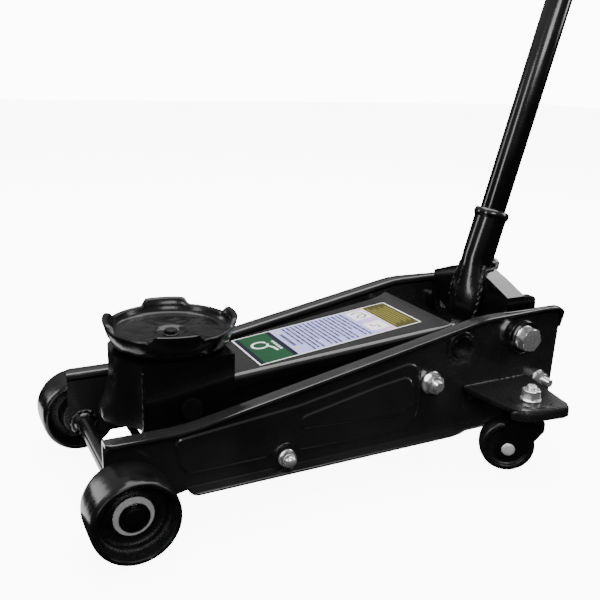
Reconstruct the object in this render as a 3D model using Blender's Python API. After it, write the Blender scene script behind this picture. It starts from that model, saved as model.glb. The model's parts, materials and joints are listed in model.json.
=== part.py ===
"""Trolley jack: side plate frame, front wheels, swivel casters, lift arm, saddle, pump and handle.

Millimetres in the constants, measured from the front axle (x), the middle plane (y) and the
ground (z). SHIFT_X moves the whole jack so that the middle of its bounding box is at x = 0.
"""

import math

import bmesh
import bpy
from mathutils import Matrix, Vector

MM = 0.001

# Side plates
WEB_OUT = 92.0
WEB_IN = 88.0
FLANGE_OUT = 108.0
FLANGE_T = 4.0
PLATE_FRONT_X = -17.0
TOP_FRONT_Z = 108.0
SLOPE_START_X = 66.0
SLOPE_END_X = 443.0
TOP_REAR_Z = 180.0
PLATE_REAR_X = 580.0
BOTTOM_Z = 31.5

# Front axle and wheels
WHEEL_R = 45.0
WHEEL_OUT = 154.5
WHEEL_IN = 100.0
AXLE_R = 12.0
HUB_FACE = 135.2

# Lift arm: shaft, front pin and lever pin
SHAFT = (418.5, 144.0)
PIN = (88.0, 107.0)
LEVER = (24.0, -41.6)
SHAFT_R = 15.0
ARM_TOP = 22.0
ARM_FRONT_HALF = 47.0
ARM_REAR_HALF = 71.0

# Levelling links: frame pivot, and the same offset below the front pin
LINK_REAR = (378.0, 104.0)
LINK_FRONT = (PIN[0] + LINK_REAR[0] - SHAFT[0], PIN[1] + LINK_REAR[1] - SHAFT[1])

# Saddle
SADDLE = (83.5, 0.0)
SADDLE_BASE_Z = 164.0
SADDLE_R = 75.0
SADDLE_TURN = -12.0

# Power unit
RAM_Z = 100.0
ROLLER_R = 15.0
PUSH_GAP = 0.8
BLOCK_X = (528.0, 576.0)
BLOCK_TOP = 102.0
BLOCK_BOLT = (552.5, 81.5)

# Handle yoke
YOKE_PIVOT = (513.5, 145.5)
HANDLE_TILT = 15.28
HANDLE_POINT = (526.5, 283.0)
SOCKET_R = 21.0
HANDLE_R = 16.5
PLUNGER_X = 539.0
PUMP_ROLLER = (538.5, 158.5)

# Casters
CASTER = (475.5, 160.0)
CASTER_R = 33.0
CASTER_HALF = 13.0
CASTER_TRAIL = 22.0
CASTER_TURN = 35.0
WING_TOP = 90.0

# Bounding box in x runs from the front wheels to the top of the grip
HANDLE_TOP_Z = 1290.0
GRIP_R = 18.5
FIT = 0.3

TILT = math.radians(HANDLE_TILT)
TOP_X = HANDLE_POINT[0] + (HANDLE_TOP_Z - HANDLE_POINT[1]) * math.tan(TILT)
SHIFT_X = -(TOP_X - 3.0 * math.sin(TILT) + GRIP_R * math.cos(TILT) - WHEEL_R) / 2.0


def clear_scene():
    for obj in list(bpy.data.objects):
        bpy.data.objects.remove(obj, do_unlink=True)


# ---------------------------------------------------------------- materials

LOOKS = {
    "black_paint": ((0.012, 0.012, 0.013), 0.0, 0.18),
    "cast_black": ((0.02, 0.02, 0.021), 0.0, 0.35),
    "zinc": ((0.72, 0.72, 0.74), 1.0, 0.25),
    "steel": ((0.55, 0.55, 0.56), 1.0, 0.3),
    "label": ((0.62, 0.62, 0.85), 0.0, 0.4),
    "grip_rubber": ((0.015, 0.015, 0.015), 0.0, 0.7),
    "caster_tyre": ((0.02, 0.02, 0.02), 0.0, 0.45),
    "spring_steel": ((0.3, 0.3, 0.31), 1.0, 0.35),
}


def material_for(node, look):
    colour, metallic, roughness = LOOKS[look]
    mat = bpy.data.materials.new(node + "." + look)
    mat.use_nodes = True
    shader = mat.node_tree.nodes["Principled BSDF"]
    shader.inputs["Base Color"].default_value = (*colour, 1.0)
    shader.inputs["Metallic"].default_value = metallic
    shader.inputs["Roughness"].default_value = roughness
    return mat


# ---------------------------------------------------------------- mesh helpers


def new_bm():
    return bmesh.new()


def prism(points, plane, low, high):
    """A polygon in a plane ("xz", "xy" or "yz"), extruded from low to high along the third axis."""
    order = {"xz": (0, 2, 1), "xy": (0, 1, 2), "yz": (1, 2, 0)}[plane]
    bm = new_bm()
    rings = []
    for level in (low, high):
        ring = []
        for a, b in points:
            co = [0.0, 0.0, 0.0]
            co[order[0]] = a
            co[order[1]] = b
            co[order[2]] = level
            ring.append(bm.verts.new(co))
        rings.append(ring)
    bm.faces.new(rings[0])
    bm.faces.new(rings[1][::-1])
    count = len(points)
    for i in range(count):
        j = (i + 1) % count
        bm.faces.new((rings[0][i], rings[0][j], rings[1][j], rings[1][i]))
    bmesh.ops.recalc_face_normals(bm, faces=bm.faces)
    return bm


def loft(rings):
    """Closed body through rings of equal vertex count, capped at both ends."""
    bm = new_bm()
    made = [[bm.verts.new(co) for co in ring] for ring in rings]
    count = len(rings[0])
    for lower, upper in zip(made, made[1:]):
        for i in range(count):
            j = (i + 1) % count
            bm.faces.new((lower[i], lower[j], upper[j], upper[i]))
    bm.faces.new(made[0][::-1])
    bm.faces.new(made[-1])
    bmesh.ops.recalc_face_normals(bm, faces=bm.faces)
    return bm


def frame_to(start, direction):
    """Matrix that takes local +Z to a direction and the origin to a start point."""
    turn = Vector((0, 0, 1)).rotation_difference(Vector(direction).normalized())
    return Matrix.Translation(Vector(start)) @ turn.to_matrix().to_4x4()


def ring_xy(radius, height, count, turn=0.0):
    return [
        (
            radius * math.cos(turn + math.tau * i / count),
            radius * math.sin(turn + math.tau * i / count),
            height,
        )
        for i in range(count)
    ]


def lathe(profile, start, direction, count=32, turn=0.0):
    """Solid of revolution from (radius, height) pairs that start and end on the axis or form a tube."""
    matrix = frame_to(start, direction)
    bm = new_bm()
    made = []
    for radius, height in profile:
        if radius < 1e-6:
            made.append([bm.verts.new((0, 0, height))])
        else:
            made.append([bm.verts.new(co) for co in ring_xy(radius, height, count, turn)])
    on_axis = profile[0][0] < 1e-6
    pairs = list(zip(made, made[1:]))
    if not on_axis:
        pairs.append((made[-1], made[0]))
    for one, two in pairs:
        for i in range(count):
            j = (i + 1) % count
            if len(one) == 1 and len(two) == 1:
                continue
            if len(one) == 1:
                bm.faces.new((one[0], two[j], two[i]))
            elif len(two) == 1:
                bm.faces.new((one[i], one[j], two[0]))
            else:
                bm.faces.new((one[i], one[j], two[j], two[i]))
    bmesh.ops.recalc_face_normals(bm, faces=bm.faces)
    bmesh.ops.transform(bm, matrix=matrix, verts=bm.verts)
    return bm


def rod(start, end, radius, count=24):
    along = Vector(end) - Vector(start)
    return lathe(
        [(0, 0), (radius, 0), (radius, along.length), (0, along.length)],
        start,
        along,
        count,
    )


def rod_y(x, z, low, high, radius, count=24):
    return rod((x, low, z), (x, high, z), radius, count)


def hexagon(start, end, flats, turn=0.0):
    along = Vector(end) - Vector(start)
    radius = flats / 2.0 / math.cos(math.pi / 6)
    inner = flats / 2.0 * 0.96
    top = along.length
    matrix = frame_to(start, along)
    rings = [
        ring_xy(radius, 0, 6, turn),
        ring_xy(radius, top - 0.8, 6, turn),
        ring_xy(inner, top, 6, turn),
    ]
    bm = loft(rings)
    bmesh.ops.transform(bm, matrix=matrix, verts=bm.verts)
    return bm


def arc(cx, cz, radius, start, end, count):
    """Points on an arc, in degrees, both ends included."""
    return [
        (
            cx + radius * math.cos(math.radians(start + (end - start) * i / count)),
            cz + radius * math.sin(math.radians(start + (end - start) * i / count)),
        )
        for i in range(count + 1)
    ]


def placed(bm, matrix):
    bmesh.ops.transform(bm, matrix=matrix, verts=bm.verts)
    if matrix.to_3x3().determinant() < 0:
        bmesh.ops.reverse_faces(bm, faces=bm.faces)
    return bm


def mirrored(bm):
    return placed(bm, Matrix.Scale(-1, 4, (0, 1, 0)))


def temp_object(bm, name):
    mesh = bpy.data.meshes.new(name)
    bm.to_mesh(mesh)
    bm.free()
    obj = bpy.data.objects.new(name, mesh)
    bpy.context.collection.objects.link(obj)
    return obj


def evaluated_bm(obj):
    bpy.context.view_layer.update()
    graph = bpy.context.evaluated_depsgraph_get()
    mesh = bpy.data.meshes.new_from_object(obj.evaluated_get(graph))
    bm = new_bm()
    bm.from_mesh(mesh)
    bpy.data.meshes.remove(mesh)
    return bm


def is_closed(bm):
    return len(bm.faces) > 0 and all(len(edge.link_faces) == 2 for edge in bm.edges)


def combine(base, others, operation):
    """Boolean of one body with several, applied in order; the helpers are removed.

    The exact solver is used first, and the manifold one where the exact one leaves open edges.
    """
    result = base
    for other in others:
        obj = temp_object(result, "base")
        tool = temp_object(other, "tool")
        modifier = obj.modifiers.new("join", "BOOLEAN")
        modifier.operation = operation
        modifier.object = tool
        modifier.solver = "EXACT"
        result = evaluated_bm(obj)
        bmesh.ops.remove_doubles(result, verts=result.verts, dist=1e-4)
        if not is_closed(result):
            modifier.solver = "MANIFOLD"
            result = evaluated_bm(obj)
        bpy.data.objects.remove(tool, do_unlink=True)
        bpy.data.objects.remove(obj, do_unlink=True)
    return result


def union(base, *others):
    return combine(base, others, "UNION")


def cut(base, *others):
    return combine(base, others, "DIFFERENCE")


def part(node, look, bm, pivot=(0.0, 0.0, 0.0), smooth=30.0):
    """Adds a finished body as a named node whose origin is on its pivot."""
    bmesh.ops.dissolve_degenerate(bm, edges=bm.edges, dist=1e-4)
    origin = Vector(pivot)
    shift = Vector((SHIFT_X, 0, 0))
    for vert in bm.verts:
        vert.co = (vert.co - origin) * MM
    mesh = bpy.data.meshes.new(node)
    bm.to_mesh(mesh)
    bm.free()
    mesh.materials.append(material_for(node, look))
    mesh.polygons.foreach_set("use_smooth", [True] * len(mesh.polygons))
    mesh.set_sharp_from_angle(angle=math.radians(smooth))
    obj = bpy.data.objects.new(node, mesh)
    obj.location = (origin + shift) * MM
    bpy.context.collection.objects.link(obj)
    return obj


# ---------------------------------------------------------------- frame

PANEL = [
    (56, 90), (62, 60), (66, 54), (72, 51.5), (164, 51.5), (170, 54.5), (173.5, 58),
    (178, 61.5), (184, 62.6), (190, 61.5), (194.5, 58), (198, 54.5), (204, 51.5),
    (337, 49), (350, 52), (357, 60), (360, 72), (360, 124), (356, 132), (346, 133),
    (200, 106), (62, 94),
]
RAISED = [
    (205, 91), (202, 84), (206, 76.5), (307, 71), (338, 71), (348, 76),
    (352, 86), (350, 104), (344, 117), (304, 112), (251, 101.5),
]


def inset_polygon(points, amount):
    """Polygon with each corner moved inwards along its bisector."""
    area = sum(a[0] * b[1] - b[0] * a[1] for a, b in zip(points, points[1:] + points[:1]))
    sign = 1.0 if area > 0 else -1.0
    moved = []
    count = len(points)
    for i in range(count):
        before = Vector(points[i - 1])
        here = Vector(points[i])
        after = Vector(points[(i + 1) % count])
        one = (here - before).normalized()
        two = (after - here).normalized()
        normal_one = Vector((-one.y, one.x)) * sign
        normal_two = Vector((-two.y, two.x)) * sign
        bisector = (normal_one + normal_two).normalized()
        reach = amount / max(0.5, bisector.dot(normal_one))
        moved.append(tuple(here + bisector * reach))
    return moved


def tapered(points, inset, y_wide, y_narrow):
    """Body between a polygon at one depth and the same polygon inset at another."""
    small = inset_polygon(points, inset)
    rings = [
        [(x, y_wide, z) for x, z in points],
        [(x, y_narrow, z) for x, z in small],
    ]
    return loft(rings)


def web_outline():
    return (
        [(PLATE_FRONT_X, 32), (PLATE_FRONT_X, TOP_FRONT_Z)]
        + [(SLOPE_START_X, TOP_FRONT_Z), (SLOPE_END_X, TOP_REAR_Z)]
        + arc(566, TOP_REAR_Z - 14, 14, 90, 0, 4)
        + [(577, 60), (571, BOTTOM_Z), (70, BOTTOM_Z), (50, 27), (-12, 27)]
    )


def top_flange():
    """Flange along the top edge, wide on the slope and narrow at the rear end."""
    stations = [
        (PLATE_FRONT_X, TOP_FRONT_Z, 97.0, 0.0),
        (-8.0, TOP_FRONT_Z, FLANGE_OUT, 0.0),
        (SLOPE_START_X, TOP_FRONT_Z, FLANGE_OUT, 5.4),
        (SLOPE_END_X, TOP_REAR_Z, FLANGE_OUT - 1.0, 5.4),
        (480.0, TOP_REAR_Z, 105.0, 0.0),
        (560.0, TOP_REAR_Z, 99.0, 0.0),
    ]
    rings = []
    for x, z, y_out, lean in stations:
        dx = math.sin(math.radians(lean)) * FLANGE_T
        rings.append(
            [
                (x, -WEB_IN - 1, z),
                (x, -y_out, z),
                (x + dx, -y_out, z - FLANGE_T),
                (x + dx, -WEB_IN - 1, z - FLANGE_T),
            ]
        )
    return loft(rings)


def bottom_flange():
    points = [(70, -89), (70, -104), (74, -FLANGE_OUT), (405, -FLANGE_OUT), (432, -100), (560, -100), (560, -89)]
    return prism(points, "xy", BOTTOM_Z, BOTTOM_Z + FLANGE_T)


def holes_in_web():
    low = -130.0
    high = -70.0
    spots = [
        (0.0, WHEEL_R, AXLE_R + FIT),
        (49.0, 43.0, 5.0 + FIT),
        (184.0, 46.6, 6.0 + FIT),
        (LINK_REAR[0], LINK_REAR[1], 7.0 + FIT),
        (BLOCK_BOLT[0], BLOCK_BOLT[1], 6.0 + FIT),
        (YOKE_PIVOT[0], YOKE_PIVOT[1], 9.0 + FIT),
        (SHAFT[0], SHAFT[1], SHAFT_R + FIT),
    ]
    return [rod_y(x, z, low, high, r, 24) for x, z, r in spots]


def side_plate():
    """The near plate; the far one is its mirror image."""
    web = prism(web_outline(), "xz", -WEB_OUT, -WEB_IN)
    bump = tapered(PANEL, 3.0, -WEB_IN - 0.5, -WEB_IN + 2.5)
    body = union(web, top_flange(), bottom_flange(), bump)
    dent = tapered(PANEL, 3.0, -WEB_OUT - 1.0, -WEB_OUT + 2.5)
    raised = tapered(RAISED, -3.0, -WEB_OUT, -WEB_OUT + 3.0)
    dent = cut(dent, raised)
    hollow = tapered(RAISED, 3.0, -WEB_IN + 6.0, -WEB_IN - 0.5)
    body = cut(body, dent, hollow)
    boss = rod_y(YOKE_PIVOT[0], YOKE_PIVOT[1], -97.0, -89.0, 22.0, 24)
    ring = rod_y(SHAFT[0], SHAFT[1], -95.0, -89.0, 20.0, 24)
    body = union(body, boss, ring)
    return cut(body, *holes_in_web())


def front_axle():
    end = 144.0
    collar = 17.0
    profile = [
        (0, -end), (AXLE_R - 1.5, -end), (AXLE_R, -end + 1.5),
        (AXLE_R, -87.6), (collar, -87.6), (collar, -81), (AXLE_R, -77),
        (AXLE_R, 77), (collar, 81), (collar, 87.6), (AXLE_R, 87.6),
        (AXLE_R, end - 1.5), (AXLE_R - 1.5, end), (0, end),
    ]
    return lathe(profile, (0, 0, WHEEL_R), (0, 1, 0), 24)


def lift_shaft():
    profile = [
        (0, -97), (SHAFT_R - 1, -97), (SHAFT_R, -96), (SHAFT_R, -87.6),
        (20, -87.6), (20, -75.5), (SHAFT_R, -75.5), (SHAFT_R, 75.5), (20, 75.5),
        (20, 87.6), (SHAFT_R, 87.6), (SHAFT_R, 96), (SHAFT_R - 1, 97), (0, 97),
    ]
    return lathe(profile, (SHAFT[0], 0, SHAFT[1]), (0, 1, 0), 20)


def tie_rod(x, z, radius, end):
    return rod_y(x, z, -end, end, radius, 16)


def dome_nut(side):
    base = hexagon((184, side * 96.2, 46.6), (184, side * 103, 46.6), 17.0)
    dome = lathe(
        [(0, 0), (7.6, 0), (7.6, 3), (6.4, 6.6), (3.6, 9.0), (0, 9.8)],
        (184, side * 101, 46.6),
        (0, side, 0),
        16,
    )
    disc = lathe(
        [(0, 0), (10.4, 0), (10.4, 2.0), (0, 2.0)], (184, side * 94.6, 46.6), (0, side, 0), 24
    )
    bore = rod_y(184, 46.6, side * 94.0, side * 100.8, 6.3, 16)
    return cut(union(base, dome, disc), bore)


def washer(x, z, y_low, y_high, radius, bore, count=24):
    tube = [(bore, 0), (radius, 0), (radius, abs(y_high - y_low)), (bore, abs(y_high - y_low))]
    return lathe(tube, (x, y_low, z), (0, y_high - y_low, 0), count)


def bolt_y(x, z, y_tip, y_shoulder, y_head, shank, flats, turn=0.0):
    """Hex bolt along y: shank from its tip to the shoulder, head from the shoulder outwards."""
    head = hexagon((x, y_shoulder, z), (x, y_head, z), flats, turn)
    inwards = 1.0 if y_head > y_shoulder else -1.0
    shaft = rod_y(x, z, y_tip, y_shoulder + inwards, shank, 16)
    return union(head, shaft)


def link_bolt(side):
    """Pivot bolt of a levelling link: round head inside, thread end outside."""
    profile = [(0, 72.6), (11, 72.6), (11, 76.6), (7, 76.6), (7, 106.5), (6, 107.5), (0, 107.5)]
    return lathe(profile, (LINK_REAR[0], 0, LINK_REAR[1]), (0, side, 0), 16)


def caster_wing(side):
    """Welded bracket beside the rear of the plate, with a lip curled down along its outer edge."""
    outline = [
        (427, 92.4), (437, 158), (440, 169), (447, 178), (458, 183), (500, 188),
        (508, 186), (513, 180), (531, 92.4),
    ]
    plate = prism(outline, "xy", WING_TOP - 5.0, WING_TOP)
    lip_out = [(439, 168), (443, 177), (450, 183), (460, 187), (499, 192), (509, 190), (515, 184), (517, 175)]
    lip_in = [
        (512.5, 174), (510.5, 181), (506.5, 185.5), (499, 187.2), (460.6, 182.3), (452.8, 178.8),
        (447, 174), (443.2, 166.5),
    ]
    lip = loft(
        [
            [(x, y, 77.0) for x, y in lip_out + lip_in],
            [(x, y, 85.0) for x, y in lip_out + lip_in],
            [(x + (CASTER[0] - x) * 0.03, y - 2.6, WING_TOP - 0.6) for x, y in lip_out + lip_in],
        ]
    )
    boss = lathe(
        [(0, 0), (26, 0), (24.5, 2.4), (0, 2.4)],
        (CASTER[0] + 1.5, CASTER[1] - 2.0, WING_TOP - 0.6),
        (0, 0, 1),
        32,
    )
    rib = prism([(92.4, 86), (92.4, 68), (120, 86)], "yz", 433, 437)
    body = union(plate, lip, boss, rib)
    hole = rod((CASTER[0], CASTER[1], 60), (CASTER[0], CASTER[1], 100), 6.0 + FIT, 16)
    body = cut(body, hole)
    return body if side > 0 else mirrored(body)


def caster_bolt(side):
    """Stud of the caster with its washer and nut."""
    x, y = CASTER[0], side * CASTER[1]
    low = WING_TOP + 2.1
    nut = hexagon((x, y, low + 2.0), (x, y, 105.5), 20.0, 0.3)
    disc = lathe([(0, 0), (12.6, 0), (12.6, 2.4), (0, 2.4)], (x, y, low), (0, 0, 1), 24)
    stud = rod((x, y, 71.5), (x, y, 110.5), 6.0, 16)
    return union(nut, disc, stud)


def block_bolt(side):
    """Stud with washer and nut that holds the pump block to the plate."""
    x, z = BLOCK_BOLT
    disc = lathe([(0, 0), (11, 0), (11, 2.2), (0, 2.2)], (x, side * 92.3, z), (0, side, 0), 24)
    nut = hexagon((x, side * 94.0, z), (x, side * 104.5, z), 17.0, 0.35)
    stud = rod_y(x, z, side * 66.0, side * 116.0, 6.0, 16)
    return union(nut, disc, stud)


# ---------------------------------------------------------------- power unit


def pump_block():
    half = 87.6
    outline = [(-half, 70), (-30, 66), (-30, 46), (30, 46), (30, 66), (half, 70)]
    outline += [(half, BLOCK_TOP - 4), (40, BLOCK_TOP), (-40, BLOCK_TOP), (-half, BLOCK_TOP - 4)]
    body = prism(outline, "yz", BLOCK_X[0], BLOCK_X[1])
    plunger_bore = rod((PLUNGER_X, 0, 54), (PLUNGER_X, 0, 110), 6.0 + FIT, 24)
    bolt_holes = [
        rod_y(*BLOCK_BOLT, side * 64, side * 95, 6.0 + FIT, 16) for side in (-1, 1)
    ]
    return cut(body, plunger_bore, *bolt_holes)


def ram_cylinder():
    profile = [
        (20.3, 470), (29, 470), (32, 473), (32, 486), (30, 487.5), (30, 524),
        (34, 525), (34, 527.7), (20.3, 527.7),
    ]
    return lathe(profile, (0, 0, RAM_Z), (1, 0, 0), 24)


def ram_piston():
    front = SHAFT[0] + LEVER[0] + ROLLER_R + PUSH_GAP
    profile = [
        (0, front), (24, front), (26, front + 1.5), (26, front + 7), (24, front + 8.5),
        (20, front + 8.5), (20, 524), (18, 526), (0, 526),
    ]
    return lathe(profile, (0, 0, RAM_Z), (1, 0, 0), 24)


def filler_plug():
    head = hexagon((562, 0, BLOCK_TOP + FIT), (562, 0, BLOCK_TOP + 6.5), 13.0)
    return head


def release_valve():
    """Valve stem with a fork that the handle's shaft turns."""
    stem = lathe(
        [(0, 0), (9, 0), (9, 3), (6, 4), (6, 6.5), (0, 6.5)], (486, 0, 132.5), (0, 0, 1), 16
    )
    slot = prism([(480, 4.0), (492, 4.0), (492, 2.0), (480, 2.0)], "xy", 138.0, 142.0)
    other = prism([(480, -4.0), (492, -4.0), (492, -2.0), (480, -2.0)], "xy", 138.0, 142.0)
    return union(stem, slot, other)


def coil(x, y, low, high, radius, wire, turns, per_turn, sides):
    """Upright coil spring of round wire."""
    total = turns * per_turn
    rise = (high - low - 2 * wire) / total
    rings = []
    for i in range(total + 1):
        angle = math.tau * i / per_turn
        out = Vector((math.cos(angle), math.sin(angle), 0))
        ahead = Vector((-radius * math.sin(angle), radius * math.cos(angle), 0)) * math.tau / per_turn
        ahead.z = rise
        ahead.normalize()
        side = ahead.cross(out)
        centre = Vector((x, y, low + wire + rise * i)) + out * radius
        ring = []
        for k in range(sides):
            turn = math.tau * k / sides
            ring.append(centre + out * (wire * math.cos(turn)) + side * (wire * math.sin(turn)))
        rings.append(ring)
    return loft(rings)


def plunger():
    profile = [
        (0, 84), (6, 84), (6, 145.8), (10.8, 145.8), (10.8, 149.2), (9.6, 150.1), (0, 150.1),
    ]
    return lathe(profile, (PLUNGER_X, 0, 0), (0, 0, 1), 24)


# ---------------------------------------------------------------- lift arm

ARM_ANGLE = math.atan2(SHAFT[1] - PIN[1], SHAFT[0] - PIN[0])
ARM_LENGTH = math.hypot(SHAFT[1] - PIN[1], SHAFT[0] - PIN[0])
ARM_BEND = -278.0


def arm_matrix():
    """Arm coordinates have their origin on the shaft and x along the line from the front pin."""
    turn = Matrix.Rotation(-ARM_ANGLE, 4, "Y")
    return Matrix.Translation((SHAFT[0], 0, SHAFT[1])) @ turn


def arm_half(x):
    share = min(1.0, max(0.0, (x - ARM_BEND) / (0.0 - ARM_BEND)))
    return ARM_FRONT_HALF + (ARM_REAR_HALF - ARM_FRONT_HALF) * share


def lever_local():
    cos, sin = math.cos(ARM_ANGLE), math.sin(ARM_ANGLE)
    return (LEVER[0] * cos + LEVER[1] * sin, -LEVER[0] * sin + LEVER[1] * cos)


def arm_side_outline():
    lx, lz = lever_local()
    top = ARM_TOP - 6.0 - FIT
    front = -ARM_LENGTH
    outline = arc(front, 0, 17.0, 90, 270, 8)
    outline += [(front + 50, -20), (-200, -27), (-80, -30), (-30, -34), (lx - 16, lz - 4)]
    outline += arc(lx, lz, 14.0, 215, 350, 6)
    outline += [(27, -20), (25, 0), (18, top), (front + 40, top)]
    return outline


def arm_side(side):
    """Side of the pressed arm: parallel near the saddle, then widening towards the shaft."""
    bm = new_bm()
    verts = [bm.verts.new((x, 0, z)) for x, z in arm_side_outline()]
    bm.faces.new(verts)
    for x in (ARM_BEND, 0.0):
        geometry = list(bm.verts) + list(bm.edges) + list(bm.faces)
        bmesh.ops.bisect_plane(bm, geom=geometry, plane_co=(x, 0, 0), plane_no=(1, 0, 0))
    made = bmesh.ops.extrude_face_region(bm, geom=list(bm.faces))
    moved = {v for v in made["geom"] if isinstance(v, bmesh.types.BMVert)}
    for vert in bm.verts:
        outer = arm_half(vert.co.x)
        vert.co.y = side * (outer if vert in moved else outer - 6.0)
    bmesh.ops.recalc_face_normals(bm, faces=bm.faces)
    lx, lz = lever_local()
    low, high = side * 20.0, side * 90.0
    holes = [
        rod_y(0, 0, low, high, SHAFT_R + FIT, 24),
        rod_y(-ARM_LENGTH, 0, low, high, 10.0 + FIT, 24),
        rod_y(lx, lz, low, high, 8.0 + FIT, 16),
    ]
    return placed(cut(bm, *holes), arm_matrix())


def arm_top():
    front = -ARM_LENGTH + 52.0
    outline = []
    for x in (front, ARM_BEND, 0.0):
        outline.append((x, arm_half(x) + 1.5))
    outline[-1] = (-8.0, arm_half(-8.0) + 1.5)
    outline.append((1.0, ARM_REAR_HALF - 8.0))
    outline = outline + [(x, -y) for x, y in reversed(outline)]
    return placed(prism(outline, "xy", ARM_TOP - 6.0, ARM_TOP), arm_matrix())


def label_plate():
    cos = math.cos(ARM_ANGLE)
    x0 = (174.0 - SHAFT[0]) / cos
    x1 = (393.6 - SHAFT[0]) / cos
    outline = [(x0, -43.4), (x1, -43.4), (x1, 43.4), (x0, 43.4)]
    return placed(prism(outline, "xy", ARM_TOP + FIT, ARM_TOP + 0.8), arm_matrix())


def front_pin():
    profile = [
        (0, -58.5), (12, -58.5), (12.5, -58), (12.5, -56.4), (10, -56.4), (10, 56.4),
        (12.5, 56.4), (12.5, 58), (12, 58.5), (0, 58.5),
    ]
    return lathe(profile, (PIN[0], 0, PIN[1]), (0, 1, 0), 20)


def lever_pin():
    x, z = SHAFT[0] + LEVER[0], SHAFT[1] + LEVER[1]
    return rod_y(x, z, -ARM_REAR_HALF, ARM_REAR_HALF, 8.0, 16)


def ram_roller():
    x, z = SHAFT[0] + LEVER[0], SHAFT[1] + LEVER[1]
    return washer(x, z, -26.0, 26.0, ROLLER_R, 8.0 + FIT, 20)


def levelling_link(side):
    """Flat link with round eyes, parallel to the line from the front pin to the shaft."""
    x0, z0 = LINK_FRONT
    x1, z1 = LINK_REAR
    tilt = math.degrees(math.atan2(z1 - z0, x1 - x0))
    outline = arc(x0, z0, 14.0, tilt + 45, tilt + 315, 10)
    outline += arc(x1, z1, 14.0, tilt - 135, tilt + 135, 10)
    body = prism(outline, "xz", side * 77.0, side * 83.0)
    low, high = side * 70.0, side * 90.0
    holes = [rod_y(x, z, low, high, 7.0 + FIT, 16) for x, z in (LINK_FRONT, LINK_REAR)]
    return cut(body, *holes)


def saddle_bracket():
    """Folded bracket: flat top with a rounded nose, two side plates and a flared front wall."""
    sides = []
    for side in (-1, 1):
        outline = [(34.5, 160.0), (34.5, 98.0)]
        outline += arc(LINK_FRONT[0], LINK_FRONT[1], 17.5, 160, 300, 8)
        outline += [(137.5, 88.0), (137.5, 160.0)]
        sides.append(prism(outline, "xz", side * 50.0, side * 56.0))
    top = [(34.5, -56), (30, -44), (19, -29), (16, -12), (16, 12), (19, 29), (30, 44), (34.5, 56)]
    top += [(137.5, 56), (137.5, -56)]
    plate = prism(top, "xy", 157.5, 163.5)
    rings = []
    for z, forward, half in ((162, 0, 1.0), (128, 0, 1.0), (112, 7, 0.9), (100, 13, 0.8), (90, 13, 0.7)):
        outer = [(34.5, -55.8), (30, -44), (19, -29), (16, -12), (16, 12), (19, 29), (30, 44), (34.5, 55.8)]
        inner = [(40, 55.8), (36, 46), (25, 31), (22, 13), (22, -13), (25, -31), (36, -46), (40, -55.8)]
        ring = []
        for x, y in outer + inner:
            near = 1.0 - min(1.0, max(0.0, (abs(y) - 12.0) / 34.0))
            ring.append((x - forward * near, y, z))
        rings.append(ring)
    wall = loft(rings)
    body = union(sides[0], plate, sides[1], wall)
    low, high = -90.0, 90.0
    holes = [
        rod_y(PIN[0], PIN[1], low, high, 10.0 + FIT, 24),
        rod_y(LINK_FRONT[0], LINK_FRONT[1], low, high, 7.0 + FIT, 16),
        rod((SADDLE[0], 0, 150), (SADDLE[0], 0, 170), 8.0 + FIT, 24),
    ]
    return cut(body, *holes)


def link_pin(side):
    x, z = LINK_FRONT
    profile = [
        (0, 44), (9.5, 44), (9.5, 49.4), (7, 49.4), (7, 83.4), (10, 83.4), (10, 84.8), (0, 84.8),
    ]
    return lathe(profile, (x, 0, z), (0, side, 0), 16)


def saddle():
    """Cup with four raised lugs on its rim."""
    count = 60
    cx, cy = SADDLE
    base = SADDLE_BASE_Z
    rings = []

    def lug(angle):
        away = abs((math.degrees(angle) - SADDLE_TURN + 45.0) % 90.0 - 45.0)
        return max(0.0, min(1.0, (24.0 - away) / 6.0))

    def ring(radius, z, out=0.0, up=0.0):
        points = []
        for i in range(count):
            angle = math.radians(SADDLE_TURN) + math.tau * i / count
            reach = radius + out * lug(angle)
            points.append(
                (cx + reach * math.cos(angle), cy + reach * math.sin(angle), z + up * lug(angle))
            )
        return points

    rings.append(ring(7.8, base - 6.0))
    rings.append(ring(7.8, base))
    rings.append(ring(58, base))
    rings.append(ring(64, base + 4))
    rings.append(ring(69, base + 16))
    rings.append(ring(70.5, base + 23, 4.5, 9.0))
    rings.append(ring(66, base + 23.5, 2.5, 9.0))
    rings.append(ring(62, base + 17))
    rings.append(ring(54, base + 15))
    rings.append(ring(20, base + 15))
    rings.append(ring(14, base + 11))
    bm = loft(rings)
    return cut(bm, rod((cx, cy, base - 10), (cx, cy, base + 20), 4.0 + FIT, 16))


def saddle_screw():
    cx, cy = SADDLE
    z = SADDLE_BASE_Z
    head = hexagon((cx, cy, z + 11.0 + FIT), (cx, cy, z + 17.0), 13.0)
    shank = rod((cx, cy, z - 8), (cx, cy, z + 13), 4.0, 16)
    return union(head, shank)


# ---------------------------------------------------------------- handle


def handle_at(distance):
    """Point on the handle's axis at a height measured along it from the yoke pivot's level."""
    drop = HANDLE_POINT[1] - YOKE_PIVOT[1]
    x = HANDLE_POINT[0] - drop * math.tan(TILT) + distance * math.sin(TILT)
    return Vector((x, 0, YOKE_PIVOT[1] + distance * math.cos(TILT)))


HANDLE_DIR = (math.sin(TILT), 0.0, math.cos(TILT))


def along_handle(height):
    return (height - YOKE_PIVOT[1]) / math.cos(TILT)


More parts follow.
